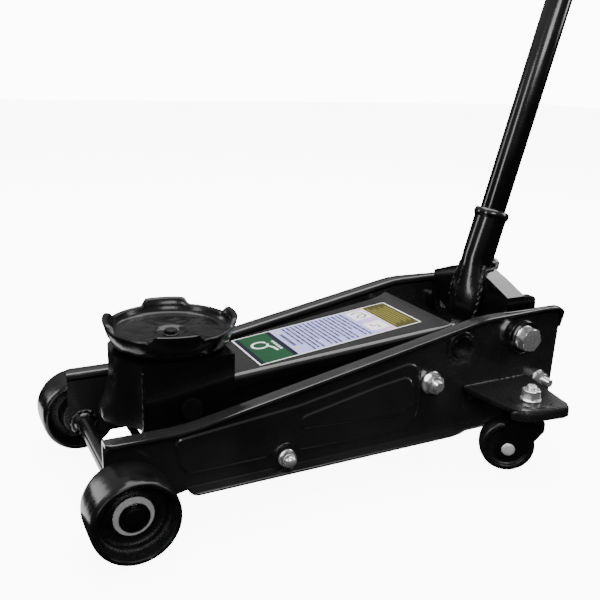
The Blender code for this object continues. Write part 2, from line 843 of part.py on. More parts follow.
def socket_body():
    """Round tube whose lower end is pressed to a keel down the front of the yoke."""
    rings = []
    matrix = frame_to((0, 0, 0), HANDLE_DIR)
    stations = [
        (along_handle(146), 10.0, 25.0, 1.0, 1.5), (along_handle(160), 12.0, 28.0, -3.0, 1.5),
        (along_handle(184), 15.0, 28.0, -4.0, 1.4), (along_handle(212), 20.0, 22.0, 0.0, 1.15),
        (along_handle(228), SOCKET_R, SOCKET_R, 0.0, 1.0),
        (along_handle(279), SOCKET_R, SOCKET_R, 0.0, 1.0), (along_handle(281), 22.6, 22.6, 0.0, 1.0),
        (along_handle(284), 23.4, 23.4, 0.0, 1.0), (along_handle(288), 22.6, 22.6, 0.0, 1.0),
        (along_handle(290), 20.5, 20.5, 0.0, 1.0),
    ]
    for distance, across_x, across_y, offset, power in stations:
        centre = handle_at(distance)
        ring = []
        for i in range(24):
            angle = math.tau * i / 24
            cos, sin = math.cos(angle), math.sin(angle)
            lx = offset + math.copysign(across_x * abs(cos) ** power, cos)
            ly = math.copysign(across_y * abs(sin) ** power, sin)
            ring.append(centre + matrix.to_3x3() @ Vector((lx, ly, 0)))
        rings.append(ring)
    return loft(rings)


def ear(side):
    px, pz = YOKE_PIVOT
    outline = [(502, 176), (502, 190), (527, 190), (546, 189), (549, 185), (549, 178)]
    outline += arc(PUMP_ROLLER[0], PUMP_ROLLER[1], 12.5, 20, -60, 4)
    outline += arc(px, pz, 18.0, -20, -200, 8)
    return prism(outline, "xz", side * 63.0, side * 76.0)


def yoke():
    top = [
        (-77, 192), (-40, 206.5), (-20, 213), (20, 213), (40, 206.5), (77, 192),
        (77, 184.5), (40, 199), (20, 205.5), (-20, 205.5), (-40, 199), (-77, 184.5),
    ]
    roof = prism(top, "yz", 500.0, 528.0)
    face = [
        (-76.5, 190), (-40, 204), (-20, 210), (20, 210), (40, 204), (76.5, 190),
        (76.5, 160), (30, 138), (-30, 138), (-76.5, 160),
    ]
    front = prism(face, "yz", 500.6, 507.0)
    spacers = [
        rod_y(YOKE_PIVOT[0], YOKE_PIVOT[1], side * 70.0, side * 87.5, 17.0, 24)
        for side in (-1, 1)
    ]
    pieces = [front, ear(-1), ear(1), socket_body(), *spacers]
    start, end = handle_at(along_handle(188)), handle_at(along_handle(300))
    screw_at = handle_at(along_handle(222))
    outward = Vector((math.cos(TILT), 0, -math.sin(TILT)))
    boss = rod(screw_at + outward * 17.5, screw_at + outward * 27.0, 8.5, 16)
    body = union(roof, *pieces, boss)
    screw_hole = rod(screw_at + outward * 10.0, screw_at + outward * 32.0, 5.0 + FIT, 16)
    pivots = [
        rod_y(YOKE_PIVOT[0], YOKE_PIVOT[1], side * 55.0, side * 95.0, 9.0 + FIT, 24)
        for side in (-1, 1)
    ]
    pin_hole = rod_y(PUMP_ROLLER[0], PUMP_ROLLER[1], -90.0, 90.0, 6.0 + FIT, 16)
    bore = rod(start, end, HANDLE_R + FIT + 0.2, 24)
    return cut(body, bore, screw_hole, pin_hole, *pivots)


def pump_roller():
    """Cross bar between the ears, with thinner ends that turn in them."""
    profile = [
        (0, -77.5), (6, -77.5), (6, -62.6), (8, -62.6), (8, 62.6), (6, 62.6), (6, 77.5), (0, 77.5),
    ]
    return lathe(profile, (PUMP_ROLLER[0], 0, PUMP_ROLLER[1]), (0, 1, 0), 20)


def lock_screw():
    screw_at = handle_at(along_handle(222))
    outward = Vector((math.cos(TILT), 0, -math.sin(TILT)))
    head = hexagon(screw_at + outward * 27.3, screw_at + outward * 34.5, 16.0)
    shank = rod(screw_at + outward * (HANDLE_R + FIT), screw_at + outward * 29.0, 5.0, 16)
    return union(head, shank)


def pivot_bolt(side):
    """Shouldered hex bolt with its washer."""
    x, z = YOKE_PIVOT
    bolt = bolt_y(x, z, side * 58.0, side * 100.0, side * 113.5, 9.0, 28.0, 0.12)
    disc = lathe([(0, 0), (17.5, 0), (17.5, 3.4), (0, 3.4)], (x, side * 97.3, z), (0, side, 0), 24)
    return union(bolt, disc)


def tube_body(low, high, outer, inner, count=24):
    start = handle_at(along_handle(low))
    end = handle_at(along_handle(high))
    length = (end - start).length
    profile = [
        (inner, 0), (outer - 0.8, 0), (outer, 0.8), (outer, length - 0.8),
        (outer - 0.8, length), (inner, length),
    ]
    return lathe(profile, start, HANDLE_DIR, count)


def button_hole():
    spot = handle_at(along_handle(700.0))
    side = Vector((math.cos(TILT), 0, -math.sin(TILT)))
    return rod(spot, spot + side * 22.0, 4.0 + FIT, 16)


def lower_handle():
    return cut(tube_body(190.0, 735.0, HANDLE_R, HANDLE_R - 2.5), button_hole())


def upper_handle():
    """Upper tube, reduced at its lower end where it enters the lower one."""
    start = handle_at(along_handle(660.0))
    step = along_handle(735.6) - along_handle(660.0)
    length = along_handle(HANDLE_TOP_Z - 9.0) - along_handle(660.0)
    small = HANDLE_R - 2.5 - FIT
    profile = [
        (small - 2.0, 0), (small, 0), (small, step), (HANDLE_R, step + 0.6),
        (HANDLE_R, length), (HANDLE_R - 2.5, length), (HANDLE_R - 2.5, step + 3), (small - 2.0, step),
    ]
    return cut(lathe(profile, start, HANDLE_DIR, 24), button_hole())


def grip():
    """Moulded grip, closed at the top, with a collar at its lower end."""
    low, high = HANDLE_TOP_Z - 135.0, HANDLE_TOP_Z
    length = along_handle(high) - along_handle(low)
    inner = HANDLE_R + FIT
    profile = [
        (0, length - 6), (inner, length - 6), (inner, 0), (GRIP_R + 1.5, 0),
        (GRIP_R + 1.5, 5), (GRIP_R, 6.5), (GRIP_R, length - 3), (GRIP_R - 3, length),
        (0, length),
    ]
    return lathe(profile, handle_at(along_handle(low)), HANDLE_DIR, 24)


def snap_button():
    spot = handle_at(along_handle(700.0))
    side = Vector((math.cos(TILT), 0, -math.sin(TILT)))
    return lathe([(0, 0), (4, 0), (4, 6.5), (3, 8), (0, 8.5)], spot + side * 10.5, side, 16)


# ---------------------------------------------------------------- wheels


def front_wheel(side):
    """Cast wheel with a deep dish on its outer face."""
    bore = AXLE_R + FIT
    profile = [
        (bore, HUB_FACE), (24, HUB_FACE), (32, HUB_FACE - 3), (36, 148),
        (38.5, WHEEL_OUT), (42.5, WHEEL_OUT), (WHEEL_R, 149), (WHEEL_R, 106),
        (42.5, WHEEL_IN), (38.5, WHEEL_IN), (35, 118), (23, 118), (21, 101), (bore, 101),
    ]
    return lathe(profile, (0, 0, WHEEL_R), (0, side, 0), 36)


def circlip(side):
    low, high = 139.2, 140.8
    tube = [(AXLE_R + FIT, low), (15.5, low), (15.5, high), (AXLE_R + FIT, high)]
    ring = lathe(tube, (0, 0, WHEEL_R), (0, side, 0), 24)
    gap = prism([(-3, 60), (3, 60), (3, 50), (-3, 50)], "xz", side * 130, side * 150)
    return cut(ring, gap)


def caster_matrix(side):
    """Caster coordinates: x along the trail, y along the wheel's axle, z up from the ground."""
    angle = math.radians(180.0 + side * CASTER_TURN)
    return Matrix.Translation((CASTER[0], side * CASTER[1], 0)) @ Matrix.Rotation(angle, 4, "Z")


def caster_wheel_centre(side):
    return caster_matrix(side) @ Vector((CASTER_TRAIL, 0, CASTER_R))


def caster_fork(side):
    top = 70.5
    outline = [(-17, top), (-17, 60), (-5, 42.5)]
    outline += arc(CASTER_TRAIL, CASTER_R, 14.5, 226, 375, 8)
    outline += [(31.5, 52), (27.4, top)]
    cheeks = [prism(outline, "xz", low, high) for low, high in ((-18.6, -14.8), (14.8, 18.6))]
    roof = prism([(-17, -18.6), (27.4, -18.6), (27.4, 18.6), (-17, 18.6)], "xy", 67.2, top)
    housing = lathe(
        [(0, 0), (16, 0), (16.6, 2), (16.6, 9), (15, 14.0), (0, 14.0)], (0, 0, top - 0.4), (0, 0, 1), 24
    )
    body = union(roof, cheeks[0], cheeks[1], housing)
    holes = [
        rod((0, 0, 60), (0, 0, 90), 6.0 + FIT, 16),
        rod_y(CASTER_TRAIL, CASTER_R, -30, 30, 6.0 + FIT, 16),
    ]
    return placed(cut(body, *holes), caster_matrix(side))


def caster_wheel():
    bore = 6.0 + FIT
    half = CASTER_HALF
    radius = CASTER_R
    profile = [
        (bore, half + 1), (9, half + 1), (10, half - 1), (25, half - 1), (26.5, half),
        (radius - 2, half), (radius, half - 2.5), (radius, -half + 2.5), (radius - 2, -half),
        (26.5, -half), (25, -half + 1), (10, -half + 1), (9, -half - 1), (bore, -half - 1),
    ]
    return lathe(profile, (CASTER_TRAIL, 0, CASTER_R), (0, 1, 0), 32)


def caster_axle():
    profile = [
        (0, -20.8), (7.0, -20.8), (8.0, -19.8), (8.0, -18.9), (6, -18.9), (6, 18.9),
        (8.0, 18.9), (8.0, 19.8), (7.0, 20.8), (0, 20.8),
    ]
    return lathe(profile, (CASTER_TRAIL, 0, CASTER_R), (0, 1, 0), 16)


# ---------------------------------------------------------------- assembly

SIDES = (("left", 1), ("right", -1))


def build_frame():
    part("side_plate_right", "black_paint", side_plate())
    part("side_plate_left", "black_paint", mirrored(side_plate()))
    part("front_axle", "cast_black", front_axle(), (0, 0, WHEEL_R))
    part("front_tie_rod", "black_paint", tie_rod(49.0, 43.0, 5.0, 91.5))
    part("lower_tie_bolt", "zinc", tie_rod(184.0, 46.6, 6.0, 100.5))
    part("lift_shaft", "cast_black", lift_shaft(), (SHAFT[0], 0, SHAFT[1]))
    for name, side in SIDES:
        part("dome_nut_" + name, "zinc", dome_nut(side))
        part("link_bolt_" + name, "zinc", link_bolt(side))
        x, z = LINK_REAR
        nut = union(
            hexagon((x, side * 94.5, z), (x, side * 105, z), 21.0, 0.2),
            lathe([(0, 0), (14, 0), (14, 2.4), (0, 2.4)], (x, side * 92.3, z), (0, side, 0), 24),
        )
        nut = cut(nut, rod_y(x, z, side * 90, side * 110, 7.0 + FIT, 16))
        part("link_nut_" + name, "zinc", nut)
        part("pivot_bolt_" + name, "zinc", pivot_bolt(side))
        part("block_bolt_" + name, "zinc", block_bolt(side))
        part("caster_wing_" + name, "black_paint", caster_wing(side))
        part("caster_nut_" + name, "zinc", caster_bolt(side))
        part(
            "wheel_washer_" + name, "zinc",
            washer(0, WHEEL_R, side * 135.5, side * 138.2, 20.6, AXLE_R + FIT, 24),
        )
        part("wheel_circlip_" + name, "cast_black", circlip(side))


def build_power_unit():
    part("pump_block", "cast_black", pump_block())
    part("ram_cylinder", "cast_black", ram_cylinder())
    part("ram_piston", "steel", ram_piston())
    part("filler_plug", "steel", filler_plug())
    part("release_valve", "steel", release_valve(), (486, 0, 132.5))
    part("plunger", "steel", plunger(), (PLUNGER_X, 0, 150.1))
    part(
        "plunger_spring", "spring_steel",
        coil(PLUNGER_X, 0, BLOCK_TOP + 0.5, 145.5, 9.0, 1.2, 6, 8, 4),
    )


def build_lift():
    shaft = (SHAFT[0], 0, SHAFT[1])
    part("lift_arm_top", "black_paint", arm_top(), shaft)
    for name, side in SIDES:
        part("lift_arm_side_" + name, "black_paint", arm_side(side), shaft)
        part("levelling_link_" + name, "black_paint", levelling_link(side), (LINK_REAR[0], 0, LINK_REAR[1]))
        part("link_pin_" + name, "cast_black", link_pin(side), (LINK_FRONT[0], 0, LINK_FRONT[1]))
    part("lift_arm_label", "label", label_plate(), shaft)
    part("lever_pin", "steel", lever_pin(), shaft)
    part("ram_roller", "steel", ram_roller(), (SHAFT[0] + LEVER[0], 0, SHAFT[1] + LEVER[1]))
    pin = (PIN[0], 0, PIN[1])
    part("saddle_bracket", "black_paint", saddle_bracket(), pin)
    part("saddle_pin", "cast_black", front_pin(), pin)
    seat = (SADDLE[0], SADDLE[1], SADDLE_BASE_Z)
    part("saddle", "cast_black", saddle(), seat)
    part("saddle_screw", "cast_black", saddle_screw(), seat)


def build_handle():
    pivot = (YOKE_PIVOT[0], 0, YOKE_PIVOT[1])
    part("handle_yoke", "black_paint", yoke(), pivot)
    part("lock_screw", "zinc", lock_screw(), pivot)
    part("pump_roller", "steel", pump_roller(), (PUMP_ROLLER[0], 0, PUMP_ROLLER[1]))
    foot = handle_at(along_handle(190.0))
    part("handle_lower", "black_paint", lower_handle(), foot)
    part("handle_upper", "black_paint", upper_handle(), foot)
    part("handle_grip", "grip_rubber", grip(), foot)
    part("snap_button", "zinc", snap_button(), foot)


def build_wheels():
    for name, side in SIDES:
        part("front_wheel_" + name, "cast_black", front_wheel(side), (0, 0, WHEEL_R))
        swivel = (CASTER[0], side * CASTER[1], 0)
        centre = caster_wheel_centre(side)
        turn = caster_matrix(side)
        part("caster_fork_" + name, "black_paint", caster_fork(side), swivel)
        part("caster_wheel_" + name, "caster_tyre", placed(caster_wheel(), turn), centre)
        part("caster_axle_" + name, "zinc", placed(caster_axle(), turn), centre)


clear_scene()
build_frame()
build_power_unit()
build_lift()
build_handle()
build_wheels()
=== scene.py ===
import json
import math

import bmesh
import bpy
from mathutils import Matrix, Vector
from mathutils import noise as perlin


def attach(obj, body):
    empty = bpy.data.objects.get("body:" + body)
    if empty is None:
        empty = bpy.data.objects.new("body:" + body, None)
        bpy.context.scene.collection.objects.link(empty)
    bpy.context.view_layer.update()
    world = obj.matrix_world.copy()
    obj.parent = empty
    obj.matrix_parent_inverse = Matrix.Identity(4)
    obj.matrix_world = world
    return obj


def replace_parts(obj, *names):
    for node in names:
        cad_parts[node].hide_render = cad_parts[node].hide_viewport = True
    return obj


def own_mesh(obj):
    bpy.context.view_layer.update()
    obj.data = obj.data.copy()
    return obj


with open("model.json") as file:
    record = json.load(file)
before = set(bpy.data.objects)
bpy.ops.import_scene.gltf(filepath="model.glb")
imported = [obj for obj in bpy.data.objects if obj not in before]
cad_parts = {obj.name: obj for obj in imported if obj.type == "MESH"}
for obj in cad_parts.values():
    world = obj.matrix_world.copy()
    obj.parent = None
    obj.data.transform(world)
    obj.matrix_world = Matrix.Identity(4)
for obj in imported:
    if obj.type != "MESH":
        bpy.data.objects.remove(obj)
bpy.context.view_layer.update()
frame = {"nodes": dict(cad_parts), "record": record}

NODES = frame["nodes"]
SIDES = (("left", 1), ("right", -1))

# Lengths are in millimetres, with x behind the front axle and z above the ground, unless a comment
# says otherwise. The row frame is in metres, and its origin is 386.83 mm behind the front axle.
SHIFT = Vector((-386.831, 0.0, 0.0))
MM = 0.001

# Axes that run across the jack, as (x, z)
FRONT_AXLE = (0.0, 45.0)
TIE_BOLT = (184.0, 46.6)
FRONT_PIN = (88.0, 107.0)
LINK_PIVOT = (378.0, 104.0)
SHAFT = (418.5, 144.0)
YOKE_PIVOT = (513.5, 145.5)
BLOCK_BOLT = (552.5, 81.5)

SADDLE_X, SADDLE_BASE = 83.5, 164.0
PLUNGER_X = 539.0
CASTER_X, CASTER_OUT = 475.5, 160.0
UP = (0, 0, 1)
ACROSS = (0, 1, 0)


def at(axis, y):
    """Point on an axis that runs across the jack."""
    return (axis[0], y, axis[1])


# ---- node material helpers


def shader(name, base, metallic, roughness):
    mat = bpy.data.materials.new(name)
    mat.use_nodes = True
    bsdf = mat.node_tree.nodes["Principled BSDF"]
    bsdf.inputs["Base Color"].default_value = (*base, 1.0)
    bsdf.inputs["Metallic"].default_value = metallic
    bsdf.inputs["Roughness"].default_value = roughness
    return mat, mat.node_tree, bsdf


def add(tree, kind, **settings):
    node = tree.nodes.new(kind)
    for key, value in settings.items():
        if key in node.inputs:
            node.inputs[key].default_value = value
        else:
            setattr(node, key, value)
    return node


def coords(tree):
    return add(tree, "ShaderNodeTexCoord").outputs["Object"]


def noise(tree, source, scale, detail=3.0, roughness=0.55):
    node = add(tree, "ShaderNodeTexNoise", Scale=scale, Detail=detail, Roughness=roughness)
    tree.links.new(source, node.inputs["Vector"])
    return node.outputs["Fac"]


def remap(tree, value, low, high, to_low, to_high):
    node = add(tree, "ShaderNodeMapRange")
    node.inputs["From Min"].default_value = low
    node.inputs["From Max"].default_value = high
    node.inputs["To Min"].default_value = to_low
    node.inputs["To Max"].default_value = to_high
    tree.links.new(value, node.inputs["Value"])
    return node.outputs["Result"]


def ramp(tree, value, stops):
    node = add(tree, "ShaderNodeValToRGB")
    band = node.color_ramp
    while len(band.elements) < len(stops):
        band.elements.new(0.5)
    for element, (place, colour) in zip(band.elements, stops):
        element.position = place
        element.color = (*colour, 1.0)
    tree.links.new(value, node.inputs["Fac"])
    return node.outputs["Color"]


def tint(tree, bsdf, value, *stops):
    """Base colour between (place, colour) stops of a value."""
    tree.links.new(ramp(tree, value, stops), bsdf.inputs["Base Color"])


def polish(tree, bsdf, value, smooth, rough):
    """Roughness between two limits, after a noise value."""
    tree.links.new(remap(tree, value, 0.3, 0.7, smooth, rough), bsdf.inputs["Roughness"])


def bump(tree, bsdf, height, strength, distance):
    node = add(tree, "ShaderNodeBump", Strength=strength, Distance=distance)
    tree.links.new(height, node.inputs["Height"])
    tree.links.new(node.outputs["Normal"], bsdf.inputs["Normal"])


def both(tree, one, two, share):
    """Two heights added, with the second scaled by a share."""
    scaled = add(tree, "ShaderNodeMath", operation="MULTIPLY")
    tree.links.new(two, scaled.inputs[0])
    scaled.inputs[1].default_value = share
    total = add(tree, "ShaderNodeMath", operation="ADD")
    tree.links.new(one, total.inputs[0])
    tree.links.new(scaled.outputs[0], total.inputs[1])
    return total.outputs[0]


def grey(level):
    return (level, level, level)


# ---- materials


def black_paint(name, level):
    """Gloss paint; level is how light the black is."""
    mat, tree, bsdf = shader(name, grey(level), 0.0, 0.16)
    place = coords(tree)
    broad = noise(tree, place, 14.0, 4.0)
    fine = noise(tree, place, 240.0, 2.0)
    specks = noise(tree, place, 900.0, 2.0)
    tint(tree, bsdf, broad, (0.3, grey(level * 0.7)), (0.75, grey(level * 1.5)))
    polish(tree, bsdf, broad, 0.12, 0.26)
    bump(tree, bsdf, both(tree, fine, specks, 0.25), 0.10, 0.0006)
    bsdf.inputs["Specular IOR Level"].default_value = 0.5
    bsdf.inputs["Coat Weight"].default_value = 0.25
    bsdf.inputs["Coat Roughness"].default_value = 0.08
    return mat


def cast_paint():
    """Glossy paint over a gently uneven casting."""
    mat, tree, bsdf = shader("cast_black_paint", grey(0.006), 0.0, 0.2)
    place = coords(tree)
    broad = noise(tree, place, 45.0, 3.0)
    grain = noise(tree, place, 260.0, 3.0, 0.5)
    tint(tree, bsdf, broad, (0.3, grey(0.003)), (0.75, grey(0.008)))
    polish(tree, bsdf, broad, 0.14, 0.24)
    bsdf.inputs["Specular IOR Level"].default_value = 0.3
    bump(tree, bsdf, both(tree, broad, grain, 0.12), 0.22, 0.002)
    return mat


def rough_cast():
    """Sand-cast surface under thin paint: coarse grain that glints."""
    mat, tree, bsdf = shader("rough_cast_black", grey(0.008), 0.0, 0.26)
    place = coords(tree)
    broad = noise(tree, place, 90.0, 4.0)
    grain = noise(tree, place, 520.0, 4.0, 0.65)
    tint(tree, bsdf, broad, (0.3, grey(0.004)), (0.75, grey(0.011)))
    polish(tree, bsdf, grain, 0.16, 0.34)
    bsdf.inputs["Specular IOR Level"].default_value = 0.35
    bump(tree, bsdf, both(tree, grain, broad, 0.8), 0.6, 0.0011)
    return mat


def grainy_paint():
    """Black paint with dust grains in it, on level plates."""
    mat, tree, bsdf = shader("grainy_black_paint", grey(0.007), 0.0, 0.2)
    place = coords(tree)
    broad = noise(tree, place, 30.0, 3.0)
    grain = noise(tree, place, 700.0, 3.0, 0.6)
    tint(tree, bsdf, grain, (0.35, grey(0.004)), (0.75, grey(0.02)))
    polish(tree, bsdf, broad, 0.14, 0.24)
    bump(tree, bsdf, grain, 0.3, 0.0008)
    return mat


def zinc(name, metallic):
    mat, tree, bsdf = shader(name, (0.9, 0.9, 0.92), metallic, 0.22)
    place = coords(tree)
    cloud = noise(tree, place, 120.0, 4.0)
    fine = noise(tree, place, 1500.0, 2.0)
    tint(tree, bsdf, cloud, (0.3, (0.78, 0.78, 0.79)), (0.7, grey(0.94)))
    polish(tree, bsdf, cloud, 0.16, 0.27)
    bump(tree, bsdf, both(tree, fine, cloud, 0.5), 0.06, 0.0003)
    return mat


def machined(name, light, dark):
    mat, tree, bsdf = shader(name, light, 1.0, 0.28)
    place = coords(tree)
    lines = add(tree, "ShaderNodeTexWave", Scale=300.0, Distortion=1.2, Detail=2.0)
    tree.links.new(place, lines.inputs["Vector"])
    cloud = noise(tree, place, 60.0, 4.0)
    tint(tree, bsdf, cloud, (0.3, dark), (0.7, light))
    polish(tree, bsdf, cloud, 0.2, 0.4)
    bump(tree, bsdf, lines.outputs["Fac"], 0.05, 0.0003)
    return mat


def rubber():
    mat, tree, bsdf = shader("grip_rubber_look", grey(0.012), 0.0, 0.7)
    fine = noise(tree, coords(tree), 800.0, 3.0)
    tint(tree, bsdf, fine, (0.3, grey(0.008)), (0.7, grey(0.02)))
    polish(tree, bsdf, fine, 0.55, 0.8)
    bump(tree, bsdf, fine, 0.25, 0.0005)
    return mat


def nylon():
    mat, tree, bsdf = shader("black_nylon", grey(0.008), 0.0, 0.3)
    fine = noise(tree, coords(tree), 300.0, 3.0)
    tint(tree, bsdf, fine, (0.3, grey(0.005)), (0.7, grey(0.012)))
    polish(tree, bsdf, fine, 0.22, 0.36)
    bump(tree, bsdf, fine, 0.1, 0.0004)
    return mat


def print_ink(name, colour):
    """Matt print, a little uneven."""
    roughness = 0.5
    mat, tree, bsdf = shader(name, colour, 0.0, roughness)
    bsdf.inputs["Specular IOR Level"].default_value = 0.15
    grain = noise(tree, coords(tree), 500.0, 2.0)
    tint(tree, bsdf, grain, (0.3, tuple(c * 0.9 for c in colour)), (0.7, colour))
    polish(tree, bsdf, grain, roughness - 0.05, roughness + 0.1)
    return mat


LOOKS = {
    "black_paint": black_paint("gloss_black_paint", 0.003),
    # The side plates get a lighter copy of the same gloss black: painted light standing in for the light
    # on their outer faces.
    "plate_paint": black_paint("plate_black_paint_painted_light", 0.013),
    "cast_black": cast_paint(),
    "rough_cast": rough_cast(),
    "grainy_paint": grainy_paint(),
    "zinc": zinc("zinc_plate", 0.82),
    # A less metallic copy of the same zinc, so its pale base colour shows white in diffuse light: painted
    # sheen standing in for the bright reflection on the washers and rivets.
    "zinc_bright": zinc("zinc_plate_painted_sheen", 0.35),
    "steel": machined("machined_steel", (0.6, 0.6, 0.6), (0.42, 0.42, 0.43)),
    "label": print_ink("label_lilac", (0.55, 0.55, 0.82)),
    "grip_rubber": rubber(),
    "caster_tyre": nylon(),
    "spring_steel": machined("spring_steel_look", (0.35, 0.35, 0.36), (0.22, 0.22, 0.23)),
}
SLOT_OF = {row["node"]: row["material_slot"] for row in frame["record"]["subparts"]}


def dress(obj, look):
    obj.data.materials.clear()
    obj.data.materials.append(LOOKS[look] if isinstance(look, str) else look)


# ---- CAD nodes


def round_edges(obj, width, angle, segments):
    rounding = obj.modifiers.new("rounding", "BEVEL")
    rounding.width = width * MM
    rounding.segments = segments
    rounding.limit_method = "ANGLE"
    rounding.angle_limit = math.radians(angle)
    rounding.use_clamp_overlap = True
    return rounding


def finish_cad(node, width):
    """Welds the triangles of a CAD node, rounds its edges and shades it."""
    obj = NODES[node]
    dress(obj, SLOT_OF[node])
    obj.data.polygons.foreach_set("use_smooth", [True] * len(obj.data.polygons))
    weld = obj.modifiers.new("weld", "WELD")
    weld.merge_threshold = 0.01 * MM
    round_edges(obj, width, 35.0, 2)
    even = obj.modifiers.new("even", "WEIGHTED_NORMAL")
    even.keep_sharp = True


EDGE_WIDTH = 0.8
EDGE_WIDTHS = {
    "saddle_bracket": 2.6, "handle_yoke": 1.4, "caster_wing_left": 3.0, "caster_wing_right": 3.0,
    "caster_fork_left": 1.0, "caster_fork_right": 1.0,
}

for node_name in NODES:
    finish_cad(node_name, EDGE_WIDTHS.get(node_name, EDGE_WIDTH))
for side_name, side_sign in SIDES:
    dress(NODES["caster_wing_" + side_name], "grainy_paint")


# ---- mesh helpers


def obj_from(bm, name, look, body, smooth=35.0):
    """A finished piece from a mesh in millimetres from the axle, moved into the row frame."""
    for vert in bm.verts:
        vert.co = (vert.co + SHIFT) * MM
    mesh = bpy.data.meshes.new(name)
    bm.to_mesh(mesh)
    bm.free()
    mesh.polygons.foreach_set("use_smooth", [True] * len(mesh.polygons))
    mesh.set_sharp_from_angle(angle=math.radians(smooth))
    obj = bpy.data.objects.new(name, mesh)
    bpy.context.collection.objects.link(obj)
    dress(obj, look)
    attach(obj, body)
    return obj


def loft(rings):
    """Closed solid through rings of equally many points."""
    bm = bmesh.new()
    made = [[bm.verts.new(co) for co in ring] for ring in rings]
    count = len(rings[0])
    for lower, upper in zip(made, made[1:]):
        for i in range(count):
            j = (i + 1) % count
            bm.faces.new((lower[i], lower[j], upper[j], upper[i]))
    bm.faces.new(made[0][::-1])
    bm.faces.new(made[-1])
    bmesh.ops.recalc_face_normals(bm, faces=bm.faces)
    return bm


def stood_on(bm, start, direction):
    """The mesh moved so that its origin is at start and its z axis along a direction."""
    turn = Vector(UP).rotation_difference(Vector(direction).normalized())
    matrix = Matrix.Translation(Vector(start)) @ turn.to_matrix().to_4x4()
    bmesh.ops.transform(bm, matrix=matrix, verts=bm.verts)
    return bm


def lathe(profile, start, direction, count=64):
    """Solid of revolution through (radius, height) pairs; a closed tube when it starts off the axis."""
    bm = bmesh.new()
    angles = [math.tau * i / count for i in range(count)]
    made = []
    for radius, height in profile:
        points = [(radius * math.cos(a), radius * math.sin(a), height) for a in angles]
        made.append([bm.verts.new(point) for point in (points if radius > 0 else [(0, 0, height)])])
    pairs = list(zip(made, made[1:]))
    if profile[0][0] > 0:
        pairs.append((made[-1], made[0]))
    for one, two in pairs:
        for i in range(count):
            j = (i + 1) % count
            if len(one) == 1:
                bm.faces.new((one[0], two[j], two[i]))
            elif len(two) == 1:
                bm.faces.new((one[i], one[j], two[0]))
            else:
                bm.faces.new((one[i], one[j], two[j], two[i]))
    bmesh.ops.recalc_face_normals(bm, faces=bm.faces)
    return stood_on(bm, start, direction)


def rod(radius, length, start, direction, count):
    return lathe([(0, 0), (radius, 0), (radius, length), (0, length)], start, direction, count)


def merged(*parts):
    """Several meshes in one, without joining their surfaces."""
    out = bmesh.new()
    for bm in parts:
        mesh = bpy.data.meshes.new("held")
        bm.to_mesh(mesh)
        bm.free()
        out.from_mesh(mesh)
        bpy.data.meshes.remove(mesh)
    return out


def corner_curve(before, here, after, radius, share, steps):
    """Points of a curve in place of a corner, no longer than a share of either edge."""
    before, here, after = Vector(before), Vector(here), Vector(after)
    one, two = before - here, after - here
    reach = min(radius, one.length * share, two.length * share)
    start, end = here + one.normalized() * reach, here + two.normalized() * reach
    points = []
    for i in range(steps + 1):
        t = i / steps
        points.append(start * (1 - t) ** 2 + here * (2 * t * (1 - t)) + end * t ** 2)
    return points


def rounded(points, radius):
    """Open profile with its corners cut by short curves."""
    out = [points[0]]
    for before, here, after in zip(points, points[1:], points[2:]):
        out += corner_curve(before, here, after, radius, 0.45, 2)
    out.append(points[-1])
    return out


def corner_arcs(points, radius):
    """Closed polygon with its corners rounded."""
    out = []
    for i, here in enumerate(points):
        out += corner_curve(points[i - 1], here, points[(i + 1) % len(points)], radius, 0.48, 5)
    return out


def hex_head(start, direction, flats, height, turn):
    """Hexagon with its outer corners turned down, as a forged head or a nut."""
    count = 48
    inner = flats / 2.0
    corner = inner / math.cos(math.pi / 6)
    levels = (
        (0.0, corner * 0.99), (0.3, corner), (height * 0.9, corner),
        (height * 0.97, corner * 0.96), (height, inner * 0.97),
    )
    rings = []
    for level, limit in levels:
        ring = []
        for i in range(count):
            angle = math.tau * i / count
            local = (angle - turn + math.pi / 6) % (math.pi / 3) - math.pi / 6
            radius = min(inner / math.cos(local), limit)
            ring.append((radius * math.cos(angle), radius * math.sin(angle), level))
        rings.append(ring)
    return stood_on(loft(rings), start, direction)


def threaded_end(start, direction, radius, length):
    """Stud end with thread grooves and a chamfered tip."""
    pitch, depth, chamfer = 1.25, 0.55, 0.9
    profile = [(0, 0), (radius - 0.5, 0)]
    height = 0.3
    while height + pitch < length - chamfer:
        groove = (radius - depth, height + pitch * 0.75)
        profile += [(radius, height), (radius, height + pitch * 0.35), groove]
        height += pitch
    profile += [(radius, length - chamfer), (radius - chamfer, length), (0, length)]
    return lathe(profile, start, direction, 24)


# ---- saddle


